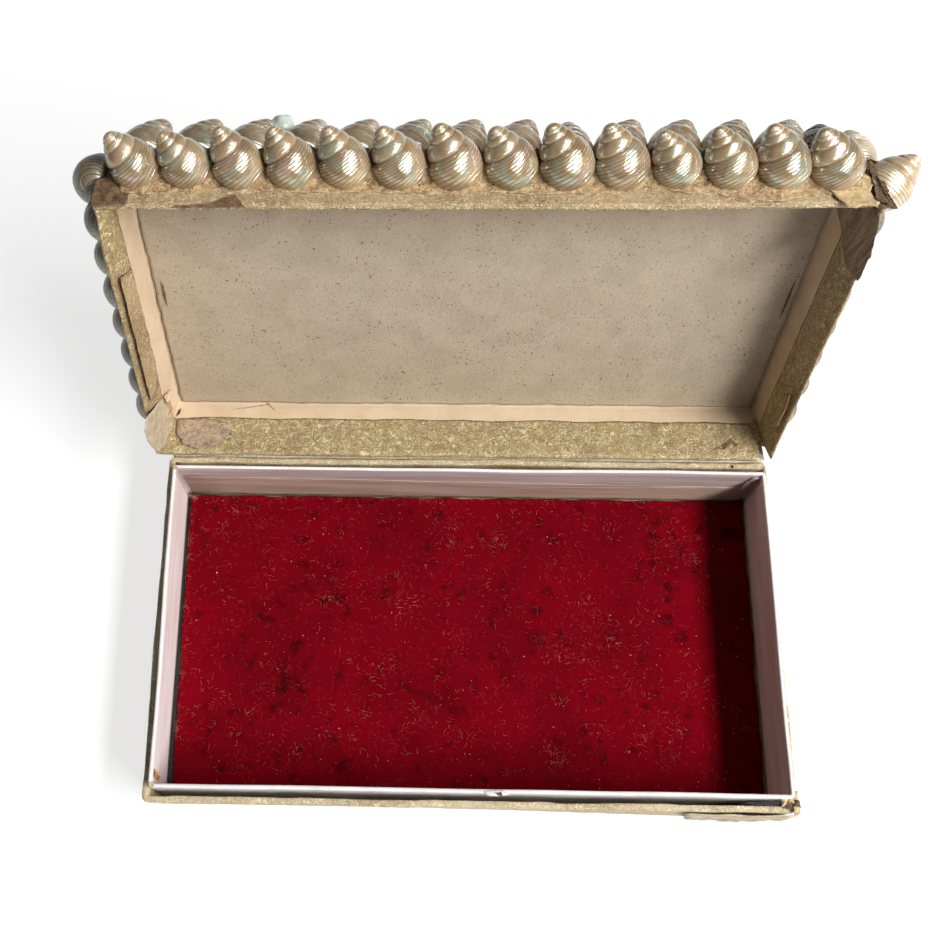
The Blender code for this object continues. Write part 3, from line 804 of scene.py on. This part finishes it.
def turban(rows, columns, seed, growth=1.72, seam_at=0.42, cords=8, seam_depth=0.2, cord_depth=0.022):
    """Shell points, faces and UV. Radius = outline * (1 - seam dip - cord groove), from apex to base."""
    fine = np.linspace(0, 1, 2000)
    length = np.cumsum(np.hypot(np.gradient(fine) * SHELL_HEIGHT, np.gradient(outline(fine)) * SHELL_RADIUS))
    length = (length - length[0]) / (length[-1] - length[0])
    s = np.interp(np.linspace(0, 1, rows + 1), length, fine)[:, None]
    turn = np.linspace(0, 1, columns + 1)[None]
    angle = 2 * np.pi * (turn + 0.25)
    whorl = np.log(np.maximum(s, 0.02) / seam_at) / math.log(growth) + (turn - 0.5)
    part = whorl - np.floor(whorl)
    last = 1 - smooth(s, seam_at * growth ** 0.40, seam_at * growth ** 0.62)
    away = np.abs(2 * part - 1)
    dip = seam_depth * last * (0.5 * away ** 2 + 0.5 * away ** 9)
    groove = np.abs(np.cos(np.pi * (whorl * cords + 0.5))) ** 0.55
    cord = cord_depth * smooth(s, 0.12, 0.4) * (1 - smooth(s, 0.93, 1.0)) * (1 - groove)
    r = outline(s) * (1 - dip - cord)
    down = np.broadcast_to(-s * SHELL_HEIGHT / SHELL_RADIUS, r.shape)
    place = np.stack([r * np.cos(angle), r * np.sin(angle), down], -1)
    lump = 0.02 * waves(place[:, :-1], 1.1, seed) * np.sqrt(np.maximum(r[:, :-1, None], 0))[..., 0]
    ring = place[:, :-1] * np.stack([1 + lump, 1 + lump, 1 + 0 * lump], -1) * SHELL_RADIUS
    seam = last * smooth(away, 0.6, 1.0)
    inner = ring[1:-1]
    points = np.concatenate([inner.reshape(-1, 3), [[0, 0, 0]], [[0, 0, -SHELL_HEIGHT]]])
    cells = quads(rows - 1, columns, wrap_columns=True)[:, ::-1]
    apex = (rows - 1) * columns
    i = np.arange(columns)
    n = (i + 1) % columns
    cap = np.stack([np.full(columns, apex), i, n], -1)
    under = np.stack([np.full(columns, apex + 1), n + (rows - 2) * columns, i + (rows - 2) * columns], -1)
    lay = np.stack([whorl * cords, np.broadcast_to(seam, whorl.shape)], -1)
    jj, ii = np.meshgrid(np.arange(1, rows - 1), np.arange(columns), indexing="ij")
    cell_lay = np.stack([lay[jj + 1, ii], lay[jj + 1, ii + 1], lay[jj, ii + 1], lay[jj, ii]], -2)
    cap_lay = np.stack([lay[1, i], lay[1, i], lay[1, i + 1]], 1)
    base_lay = np.stack([lay[-2, i], lay[-2, i + 1], lay[-2, i]], 1)
    uv = np.concatenate([part.reshape(-1, 2) for part in (cell_lay, cap_lay, base_lay)])
    return points, cells.tolist() + cap.tolist() + under.tolist(), uv


points, faces, lay = turban(100, 56, 1)
print("a front shell has", 2 * len(faces), "triangles at most")

# %% [markdown]
# A glued shell leans to the side by its tilt, dips towards the wall, and stands a little way off it. What
# would lie inside the wall is pressed flat on it. Its place is given in the lid's layout, and the imported
# shell is hidden.

# %% Setting a shell on the lid


def turned(angle, axis):
    """The rotation matrix by an angle in degrees about x, y or z."""
    c, s = math.cos(math.radians(angle)), math.sin(math.radians(angle))
    return {"x": np.array([[1, 0, 0], [0, c, -s], [0, s, c]]),
            "y": np.array([[c, 0, s], [0, 1, 0], [-s, 0, c]]),
            "z": np.array([[c, -s, 0], [s, c, 0], [0, 0, 1]])}[axis]


def set_shell(name, node, finish, shape, tilt, dip, lift, turn, at, size):
    """Local = lean (shape raised by its middle) + lift off the glue plane, then turned, scaled and placed."""
    points, faces, lay = shape
    points = points + np.array([0, 0, SHELL_MIDDLE * SHELL_HEIGHT])
    points = points @ (turned(-tilt, "y") @ turned(-dip, "x")).T + np.array([0, -lift, 0])
    points[:, 1] = np.minimum(points[:, 1], 0.12)
    points = (points * size) @ turn.T + at
    piece = make_piece(name, swing_open(points), faces, [finish], "lid", uv=lay)
    if node:
        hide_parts(node)


print("the front wall's middle in the closed layout:", layout_of(0.0, LID_LENGTH, LID_TOP / 2).round(1))

# %% [markdown]
# Fourteen shells stand along the front wall. No two lean quite alike, so each has its own tilt and size,
# and its own growth, seams and cords. They stand a little wider apart at the middle.

# %% The row on the front wall
GAP = 0.3
tilts = (74, 70, 52, 54, 52, 58, 50, 58, 52, 46, 60, 54, 48, 68)
sizes = (0.97, 0.97, 1.0, 1.0, 1.0, 1.02, 1.05, 1.02, 1.06, 1.04, 0.95, 1.01, 1.04, 1.04)
draw = np.random.default_rng(5)
share = np.arange(14) / 13
front_x = -88.2 + 174.8 * share - np.sin(2 * np.pi * share)
for k, (tilt, size) in enumerate(zip(tilts, sizes)):
    growth, seam_at, cords = draw.uniform(1.86, 2.04), draw.uniform(0.31, 0.36), int(draw.integers(7, 9))
    seam_depth, cord_depth = draw.uniform(0.17, 0.22), draw.uniform(0.002, 0.006)
    front_shape = turban(100, 56, 100 + k, growth, seam_at, cords, seam_depth, cord_depth)
    at = layout_of(front_x[k], LID_LENGTH + GAP, 12.4)
    name, node = f"pearl_front_{k + 1:02d}", f"front_shell_{k + 1:02d}"
    set_shell(name, node, pearly, front_shape, tilt, -57, 3.0, np.eye(3), at, size)
print("front row spacing, mm:", np.diff(front_x).round(1))

# %% [markdown]
# The other rows are seen from further off, so three plain shapes are shared out among them, with fewer
# faces. Only the last shell on the right wall stands up into view, so it gets a front shell's shape.

# %% The rows on the two end walls
plain, far = [[turban(rows, columns, 200 + k, 1.85 + 0.04 * k, 0.35, 8, 0.2, 0.005) for k in range(3)]
              for rows, columns in ((64, 36), (46, 26))]
for side, word, height in ((0, "left", 14.5), (1, "right", 15.5)):
    sign = 2 * side - 1
    for k in range(8):
        raised = side == 1 and k == 7
        tilt, dip, lift, w = (40, -55, 4.4, 13.0) if raised else (14, 10, 2.4, height)
        # The end walls' shells use the darker pearl, which is painted shade.
        finish, shape = (pale_pearl, front_shape) if raised else (dull_pearl_painted_shade, far[k % 3])
        v = 8.5 + 96.1 * k / 7
        lean = math.degrees(math.atan2(wall_x(side, v, LID_TOP) - wall_x(side, v, 0), LID_TOP))
        turn = turned(lean, "y") @ turned(sign * 90, "z")
        at = layout_of(wall_x(side, v, w) + sign * 1.5 * GAP, v, w)
        name, node = f"pearl_{word}_{k + 1:02d}", f"{word}_shell_{k + 1:02d}"
        set_shell(name, node, finish, shape, tilt, dip, lift, turn, at, 1.0)
print("a shared shell has", 2 * len(plain[0][1]), "triangles at most, a far one", 2 * len(far[0][1]))

# %% The border on the lid's top
upward = turned(-90, "x")
BORDER_V = 101.3
for k in range(13):
    dip, lift, size = (-85, 4.2, 1.12) if k == 8 else (-65, 5.4, 1.1)
    at = layout_of(-89.0 + 166.6 * k / 12, BORDER_V, LID_TOP + GAP)
    name, node = f"pearl_top_{k + 1:02d}", f"top_shell_{k + 1:02d}"
    set_shell(name, node, pearly, plain[k % 3], -105, dip, lift, upward, at, size)
at = layout_of(87.0, BORDER_V, LID_TOP + GAP)
set_shell("netted_brown", "brown_shell", brown_net, plain[0], -105, -75, 4.8, upward, at, 1.03)

# %% [markdown]
# The corner and the other three edges of the top carry the same border. They face away, so they use the
# shapes with the fewest faces. A small sea-green shell fragment, worn round, sits between two shells in
# front: it is a ball whose radius wanders with the waves.

# %% The rest of the border
end_rows = [(x, 12 + 76 * k / 5) for x in (-88.0, 88.0) for k in range(6)]
back_row = [(-73 + 146 * k / 9, 12.0) for k in range(10)]
for k, (x, v) in enumerate([(96.2, 101.0), *end_rows, *back_row]):
    at = layout_of(x, v, LID_TOP + GAP)
    finish = pearly if k else pale_pearl
    set_shell(f"pearl_border_{k + 1:02d}", None, finish, far[k % 3], -105, -85, 4.2, upward, at, 0.96)

# %% The sea-green fragment
rows, columns = 18, 32
theta = np.linspace(0, 2 * np.pi, columns, endpoint=False)
theta, phi = np.meshgrid(theta, np.linspace(0.12, np.pi - 0.12, rows))
ball = np.stack([np.cos(theta) * np.sin(phi), np.sin(theta) * np.sin(phi), np.cos(phi)], -1)
ball = ball * (1 + 0.12 * waves(ball, 0.9, 77))[..., None] * [3.2, 2.4, 3.0]
ball = swing_open(ball + layout_of(-53.4, 103.0, 37.2))
faces = quads(rows, columns, wrap_columns=True).tolist() + caps(rows, columns, flip=True)
green = make_piece("sea_green_fragment", ball, faces, [sea_green], "lid")

# %% [markdown]
# ## Glue, tears and loose sheets
# Each worn place is a small sheet of its own laid on a wall: rings run from its middle to a ragged
# outline, and its height above the wall is a curl at the edge, a dome in the middle, or both. It is
# worked out flat first, from corners in millimetres along and up the wall. Then a lid wall is leant and
# swung with the lid, and a face of the base only needs its own place.

# %% A ragged sheet on a wall


def on_wall(wall, along, up, out):
    """Lid layout of a point `out` mm off a wall's visible face; along is v on the ends and x elsewhere."""
    if wall == "left":
        return wall_x(0, along, up) + BOARD + out, along, up
    if wall == "right":
        return wall_x(1, along, up) - BOARD - out, along, up
    if wall == "panel":
        return along, up, LID_DEPTH - 0.65 - out
    return along, LID_LENGTH + out if wall == "front" else BOARD + out, up


BASE_FACES = {
    "neck_back": lambda along, up, out: (along, neck_high[1] - CARD - out, up),
    "neck_left": lambda along, up, out: (neck_low[0] + CARD + out, along, up),
    "neck_rim": lambda along, up, out: (along, up, neck_high[2] + out),
    "box_rim": lambda along, up, out: (along, up, outer_high[2] + out),
    "box_front": lambda along, up, out: (along, outer_low[1] - out, up),
    "box_well": lambda along, up, out: (along, up, floor_z + out),
}


def spot(wall, along, up, out):
    """World point of a place on any face: a base face directly, a lid wall through the lid's layout."""
    if wall in BASE_FACES:
        return np.stack(np.broadcast_arrays(*BASE_FACES[wall](along, up, out)), -1)
    return on_lid(*on_wall(wall, along, up, out))


RINGS = 8


def scrap(name, wall, corners, finish, out, curl, dome=0.0, ragged=0.3, seed=0, thick=0.2):
    """Height off the wall = out + curl * t^3 * wave + dome * (1 - t^2), where t is 0..1 from the middle."""
    corners = np.array(corners, float)
    step = np.linspace(0, 1, 10, endpoint=False)[None, :, None]
    edge = (corners[:, None] * (1 - step) + np.roll(corners, -1, 0)[:, None] * step).reshape(-1, 2)
    field = on_flat(*edge.T)
    edge = edge + ragged * np.stack([waves(field, 2.0, seed + 900), waves(field, 2.0, seed + 901)], -1)
    t = np.linspace(0, 1, RINGS + 1)[1:, None]
    place = corners.mean(0) + (edge[None] - corners.mean(0)) * t[..., None]
    field = on_flat(place[..., 0], place[..., 1])
    rise = out + curl * t ** 3 * (0.5 + 0.5 * waves(field, 6, seed + 902))
    rise = rise + 0.06 * waves(field, 2.2, seed + 904)
    rise = rise + dome * (1 - t ** 2) * (1 + 0.3 * waves(field, 1.6, seed + 903))
    points = spot(wall, place[..., 0], place[..., 1], rise).reshape(-1, 3)
    columns = len(edge)
    centre = spot(wall, *corners.mean(0), out + dome)
    i = np.arange(columns)
    cap = np.stack([np.full(columns, RINGS * columns), (i + 1) % columns, i], -1)
    faces = quads(RINGS, columns, wrap_columns=True).tolist() + cap.tolist()
    body = "base" if wall in BASE_FACES else "lid"
    piece = make_piece(name, np.concatenate([points, centre[None]]), faces, [finish], body)
    thicken(piece, thick)


# %% Sheets, tape and tears on the lid
scrap("flap_of_cover_paper", "left", [(83, 0.9), (78, 8.9), (55, 9.2), (30, 9.0), (26, 4.8), (28, 0.9),
      (55, 0.9)], lid_paper, 0.45, 0.25, seed=1)
scrap("loose_sheet_left", "left", [(27, -4.5), (20.3, 7.7), (8.0, 12.4), (1.2, 13.4), (0.6, 9),
      (1.0, 3.0), (6.9, -3.2), (16.4, -6.6), (24.5, -7.4)], lilac_sheet, 0.2, 0.4, seed=2)
scrap("loose_sheet_back", "back", [(-94.2, 12.4), (-85.2, 13.3), (-76.2, 11.0), (-75.7, 5.9),
      (-80.9, 2.7), (-85.5, 0.9), (-90.5, 2.6), (-93.5, 6.4)], lilac_stain, 0.4, 0.8, dome=0.5, seed=3)
scrap("stain_left", "left", [(18.3, 11.9), (17.5, 9.6), (9, 10.6), (6.8, 13.6), (12, 13)], stained,
      0.35, 0.2, seed=4)
scrap("torn_peach_left", "left", [(19.5, 9.2), (15.2, 15.2), (14.5, 10.4)], peach_paper, 0.55, 0.6,
      seed=5)
scrap("tape_front_left", "front", [(-98.4, 0.7), (-98.2, 10.5), (-90.6, 12.2), (-88.8, 6.5),
      (-89.2, 0.7)], tape_ground, 0.28, 0.3, seed=6)
scrap("glue_triangle", "front", [(-78.6, 0.6), (-69.0, 1.9), (-62.6, 5.1), (-59.6, 0.7), (-68, 0.5)],
      tape_ground, 0.2, 0.1, seed=7, ragged=0.15)
scrap("tape_right", "right", [(93, 17.6), (101, 13), (107.8, 9), (108.2, -1.8), (98, -4.6), (89, -4.4),
      (86.5, 3)], old_tape, 0.45, 0.5, seed=8)
scrap("wrinkle_right", "right", [(21, 6.4), (30, 4.6), (33, 2.4), (29, 1.2), (18, 1.4), (15, 3.6)],
      lid_paper, 0.2, 0.35, dome=0.15, seed=9)
scrap("torn_corner_paper", "front", [(87, 14), (91, 17.6), (95.2, 16.6), (94.2, 12), (96.2, 9),
      (94.6, 6), (96.4, 3), (95.2, 0.6), (88, 0.7), (84.5, 6)], torn_paper, 0.4, 0.9, ragged=0.5,
      seed=10)
scrap("split_board_corner", "front", [(95, 18), (97, 16.8), (98.6, 11), (99.6, 5), (100.4, 0.5),
      (96, 0.5), (95, 9)], torn_board, 0.12, 0.35, ragged=0.4, seed=11)
scrap("split_board_layer", "front", [(95.4, 15), (96.8, 13), (98.0, 6), (98.2, 1.2), (95.8, 2.2)],
      torn_board, 0.75, 0.9, ragged=0.5, seed=12)
scrap("amber_corner", "front", [(97.2, 18.6), (99.6, 16.8), (101.2, 12.8), (100.2, 9.6), (98.0, 12.6)],
      amber_glue, -0.4, 0.0, dome=1.3, ragged=0.2, seed=13)
scrap("slit_left", "panel", [(-90.4, 61.3), (-90.0, 56), (-90.4, 50.4), (-90.8, 56)], torn_board, 0.32,
      0, ragged=0.05, seed=14)
scrap("slit_right", "panel", [(90.5, 63.4), (90.8, 55), (90.2, 46.9), (90.0, 55)], torn_board, 0.32, 0,
      ragged=0.1, seed=15)

# %% [markdown]
# The back wall has a small hole and two cracks. Each is a very narrow sheet just proud of the wall: the
# hole is nearly black, painted shade for its depth, and the cracks are light brown.

# %% A hole and two cracks
scrap("hole_back_left", "back", [(-94.7, 13.8), (-93.9, 16.6), (-93.4, 17.4), (-93.5, 15.4)], painted_shade_and_black_spot,
      0.3, 0, seed=16, ragged=0.15, thick=0.1)
scrap("crack_back_long", "back", [(-77, 17.2), (-71, 18.1), (-64.6, 19.5), (-64.6, 19.25),
      (-71, 17.85)], old_glue, 0.1, 0.05, ragged=0.04, seed=17, thick=0.1)
scrap("crack_back_short", "back", [(-65.4, 19.8), (-62.7, 16.9), (-62.5, 17.1), (-65, 19.9)], stained,
      0.12, 0.05, ragged=0.05, seed=31, thick=0.1)

# %% [markdown]
# The base has its own: a browned sheet and a painted shadow line low on the neck's back, curls and chips at
# its corners, and painted shade in the gap beside the floor card.

# %% Worn places on the neck and in the well
scrap("lower_neck_sheet", "neck_back", [(-91, 20.7), (-20, 18.4), (75, 16.0), (91, 15.6), (91, 3.4),
      (-91, 3.4)], brown_paper, 0.28, 0.0, ragged=0.12, seed=18, thick=0.12)
# Painted shadow: an olive line where the neck's back meets the flocked floor.
scrap("painted_shadow_line_neck", "neck_back", [(-91, 5.6), (-5, 4.8), (91, 3.9), (91, 3.0), (-91, 3.0)],
      painted_foot_shadow, 0.42, 0.1, ragged=0.08, seed=19, thick=0.15)
scrap("curl_neck_right", "neck_back", [(88.8, 16), (90.3, 21), (91.6, 26.2), (90.4, 26.4), (89.2, 22),
      (88.2, 17.5)], pink_paper, 0.5, 1.0, seed=20, thick=0.15)
scrap("tear_neck_left", "neck_left", [(-44.8, 26.0), (-46.2, 18.4), (-47.4, 20), (-47.0, 25.8)],
      stained, 0.35, 0.5, seed=21)
scrap("worn_corner_back_left", "neck_rim", [(-93.6, 49.6), (-92.0, 49.2), (-92.3, 48.2), (-93.2, 48.6)],
      torn_paper, -0.05, 0.3, seed=22)
scrap("worn_corner_front_left", "neck_rim", [(-93.2, -50.2), (-91.8, -50.0), (-92.2, -48.6),
      (-93.0, -48.9)], torn_paper, 0.0, 0.3, seed=23)
scrap("chip_neck_front", "neck_rim", [(4.3, -49.9), (6.6, -49.4), (10.3, -49.6), (11.6, -50.6),
      (8.0, -51.2), (5.1, -50.8)], white_paper, 0.05, 0.3, dome=0.35, seed=24)
scrap("chip_core", "neck_rim", [(7.2, -50.0), (9.0, -49.9), (9.3, -50.9), (7.9, -50.9)], torn_board,
      0.4, 0.2, seed=25)
# Painted shade: a near black sheet in the gap beside the floor card.
scrap("gap_beside_floor", "box_well", [(-92.6, 47.5), (-88.5, 47.5), (-88.5, -48.8), (-92.6, -48.8)],
      painted_shade_and_black_spot, 0.12, 0, ragged=0.0, seed=26, thick=0.1)

# %% [markdown]
# The front right corner of the box has burst. Six crumbs of paper and board lie round it, the gap beside
# it is painted near black as its shade, and the torn covering hangs down the front. A black spot by the
# hinge and a stain on the lid's back wall, both on the same side, are laid on with it.

# %% The burst corner
crumbs = [(94.3, -49.4, torn_paper), (94.6, -51.6, torn_board), (93.0, -50.6, torn_paper),
          (94.4, -53.4, torn_paper), (92.2, -52.2, torn_board), (91.2, -51.2, torn_paper)]
for k, (x, y, finish) in enumerate(crumbs):
    corners = [(x - 1.0, y - 1.1), (x - 0.8, y + 1.0), (x + 0.8, y + 1.2), (x + 0.9, y - 0.9)]
    scrap(f"torn_box_corner_{k + 1}", "box_rim", corners, finish, 0.3, 0.8, dome=0.9, ragged=0.45,
          seed=40 + k, thick=0.25)
scrap("black_spot", "box_rim", [(83.5, 52.3), (84.5, 52.3), (84.4, 53.1), (83.6, 53.1)], painted_shade_and_black_spot,
      0.02, 0, ragged=0.1, seed=54, thick=0.1)
scrap("stain_back_right", "back", [(76.5, 2.2), (81, 5.2), (85.5, 8.6), (87, 8.2), (86, 4.6),
      (80, 3.2)], tape_ground, 0.1, 0.15, ragged=0.35, seed=55)
# Painted shade: a near black sheet in the gap at the burst corner.
scrap("gap_front_right", "box_rim", [(78, -51.6), (86, -50.9), (90.6, -50.6), (90.8, -51.9),
      (86, -52.3)], painted_shade_and_black_spot, 0.15, 0, ragged=0.2, seed=29, thick=0.1)
scrap("ragged_front_paper", "box_front", [(62, 23.4), (95, 23.4), (96, 12), (91, 4), (84, 2.2), (78, 5),
      (73, 3), (66, 9), (63, 17)], torn_white, 0.35, 0.7, ragged=0.7, seed=30)

# %% [markdown]
# A crust of brown glue squeezed out under the row of shells. It is one strip of the front wall. Its
# height is a dome under each shell, a higher ridge that fills the valleys between them, and small lumps.
# The edge by the rim wanders: it stops short in two places and runs further in one.

# %% Glue crust
ALONG, UP = 420, 24
u, s = np.meshgrid(np.linspace(-91.5, 93.0, ALONG), np.linspace(0, 1, UP))
low_edge = 5.6 + 0.5 * waves(on_flat(u), 16, 80) + 0.35 * waves(on_flat(u), 4, 81)
for middle, width, raise_by in ((-60, 9, 2.2), (41, 6, 2.6), (70, 8, -2.6)):
    low_edge = low_edge + raise_by * np.exp(-(((u - middle) / width) ** 2))
up = low_edge + (18.5 - low_edge) * s
near = np.exp(-(((u[..., None] - front_x) / 4.2) ** 2)).max(-1)
swell = (0.5 + 0.9 * near) * smooth(s, 0, 0.3) + 2.2 * (1 - near) * smooth(up, 8.5, 13.0)
rise = 0.12 + swell * (1 + 0.5 * waves(on_flat(u, up), 1.4, 82)) + 0.22 * waves(on_flat(u, up), 3.6, 83)
points = on_lid(u, LID_LENGTH + np.maximum(rise, 0.05), up)
crust = make_piece("glue_crust", points, quads(UP, ALONG).tolist(), [old_glue], "lid")
thicken(crust, 0.4)
print("crust height, mm: up to", rise.max().round(1))

# %% [markdown]
# ## Lint on the flock
# Loose fibres lie all over the red floor, thicker at the back left, and nearly a third of them in small
# clumps. Each is a thin three-sided tube along a wandering line that lies on the nap, tapered at both
# ends and closed there. All of them are one mesh.

# %% Lint
draw = np.random.default_rng(40)
FIBRES, STEPS = 5200, 7
spread = draw.uniform(-1, 1, (FIBRES, 2)) - np.array([0.55, -0.45]) * draw.uniform(0, 1, (FIBRES, 1)) ** 2
clump = draw.uniform(-1, 1, (60, 2))[draw.integers(0, 60, FIBRES)] + draw.normal(0, 0.03, (FIBRES, 2))
spread = np.where(draw.uniform(0, 1, (FIBRES, 1)) < 0.3, clump, spread)
start = np.clip(spread, -1, 1) * card_half * 0.985
bend = draw.normal(0, 0.55, (FIBRES, STEPS)).cumsum(1) + draw.uniform(0, 2 * np.pi, (FIBRES, 1))
stride = draw.uniform(0.14, 0.42, (FIBRES, 1))
way = np.stack([np.cos(bend), np.sin(bend)], -1)
line = start[:, None] + np.cumsum(way * stride[..., None], 1)
line = np.clip(line, 0.8 - card_half, card_half - 0.8)
arch = np.linspace(0.2, 2.9, STEPS)[None] + draw.uniform(0, 3, (FIBRES, 1))
rise = card_high[2] + 0.03 + 0.16 * np.abs(np.sin(arch))
taper = np.array([0.0, 0.7, 1, 1, 1, 0.7, 0.0])[None, :, None]
radius = taper * draw.uniform(0.012, 0.03, (FIBRES, 1, 1)) + 0.003
corner = np.array([0, 2 * np.pi / 3, 4 * np.pi / 3])
side = np.stack([-way[..., 1], way[..., 0]], -1)
ground = line[:, :, None] + side[:, :, None] * (np.cos(corner) * radius)[..., None]
up = np.broadcast_to((rise[:, :, None] + np.sin(corner) * radius)[..., None], ground.shape[:3] + (1,))
points = np.concatenate([ground, up], -1)
tube = quads(STEPS, 3, wrap_columns=True)
ends = np.array([[2, 1, 0], [STEPS * 3 - 3, STEPS * 3 - 2, STEPS * 3 - 1]])
offset = (np.arange(FIBRES) * STEPS * 3)[:, None, None]
faces = (tube[None] + offset).reshape(-1, 4).tolist() + (ends[None] + offset).reshape(-1, 3).tolist()
fibres = make_piece("loose_fibres", points, faces, [lint], "base")
print("lint faces", len(faces))

# %% [markdown]
# ## Light, floor and camera
# Light through a tall window: one large soft lamp from the right, stretched front to back, so that
# shadows are crisp across the box and soft along it. A larger lamp near it stands for a white reflector.
# It is hidden from dull light, so it only gives the shells and the glue broad highlights. A pale floor
# that glows a little and a weak sky fill the rest.

# %% Floor
paper_floor, shader, _ = start_material("plain_pale_floor", 0.9)
shader.inputs["Base Color"].default_value = linear("#9A9A9A")
shader.inputs["Emission Color"].default_value = (1, 1, 1, 1)
shader.inputs["Emission Strength"].default_value = 0.74
FLOOR_HALF = 1500.0
corners = np.array([[-1, -1, 0], [1, -1, 0], [1, 1, 0], [-1, 1, 0]]) * FLOOR_HALF
ground_plane = make_piece("studio_floor", corners, [[0, 1, 2, 3]], [paper_floor], None, rounded=False)

# %% Lamps


def stand_at(axes, place):
    """The matrix whose columns are three axes and a place in mm."""
    return Matrix([[*row, p * MM] for row, p in zip(axes.tolist(), place)] + [[0, 0, 0, 1]])


def lamp(name, place, size, power, target=(0.0, 0.0, 30.0)):
    """A rectangular area lamp, place and size in mm, its long side kept along y, aimed at the target."""
    data = bpy.data.lights.new(name, "AREA")
    data.shape, data.size, data.size_y, data.energy = "RECTANGLE", size[0] * MM, size[1] * MM, power
    made = bpy.data.objects.new(name, data)
    bpy.context.scene.collection.objects.link(made)
    back = np.array(place, float) - np.array(target)
    back /= np.linalg.norm(back)
    across = np.cross([0, 1, 0], back)
    across /= np.linalg.norm(across)
    along = np.cross(back, across)
    made.matrix_world = stand_at(np.stack([across, along, back], -1), place)
    return made


lamp("window", (800, -430, 1090), (260, 1050), 31.5)
reflector = lamp("white_reflector", (600, -430, 1090), (1150, 2300), 46.0)
reflector.visible_diffuse = False
world = bpy.data.worlds.new("room")
world.use_nodes = True
sky = world.node_tree.nodes["Background"]
sky.inputs["Color"].default_value = linear("#F4F6FF")
sky.inputs["Strength"].default_value = 0.07
bpy.context.scene.world = world
bpy.context.scene.view_settings.view_transform = "Standard"

# %% [markdown]
# ### Camera
# A normal lens looks steeply down on the open box from in front. The lens is shifted sideways, which
# moves the box in the frame without turning the camera.

# %% Camera
camera_data = bpy.data.cameras.new("camera")
camera_data.sensor_width, camera_data.lens = 36.0, 47.2006
camera_data.shift_x, camera_data.shift_y = 0.094986, 0.017474
camera_data.clip_start, camera_data.clip_end = 0.01, 20.0
camera = bpy.data.objects.new("camera", camera_data)
bpy.context.scene.collection.objects.link(camera)


def view_from(place, elevation, yaw, roll):
    """Camera matrix: look along (0, cos e, -sin e), then turn by yaw and roll in the view's own axes."""
    e = math.radians(elevation)
    level = np.array([[1, 0, 0], [0, -math.sin(e), -math.cos(e)], [0, math.cos(e), -math.sin(e)]])
    rows = turned(roll, "z") @ turned(yaw, "y") @ level
    return stand_at(np.stack([rows[0], -rows[1], -rows[2]], -1), place)


camera.matrix_world = view_from((-17.69, -88.85, 396.04), 70.498, 1.2345, 0.6654)
bpy.context.scene.camera = camera
print("camera stands at, mm:", [round(c / MM, 1) for c in camera.matrix_world.translation])
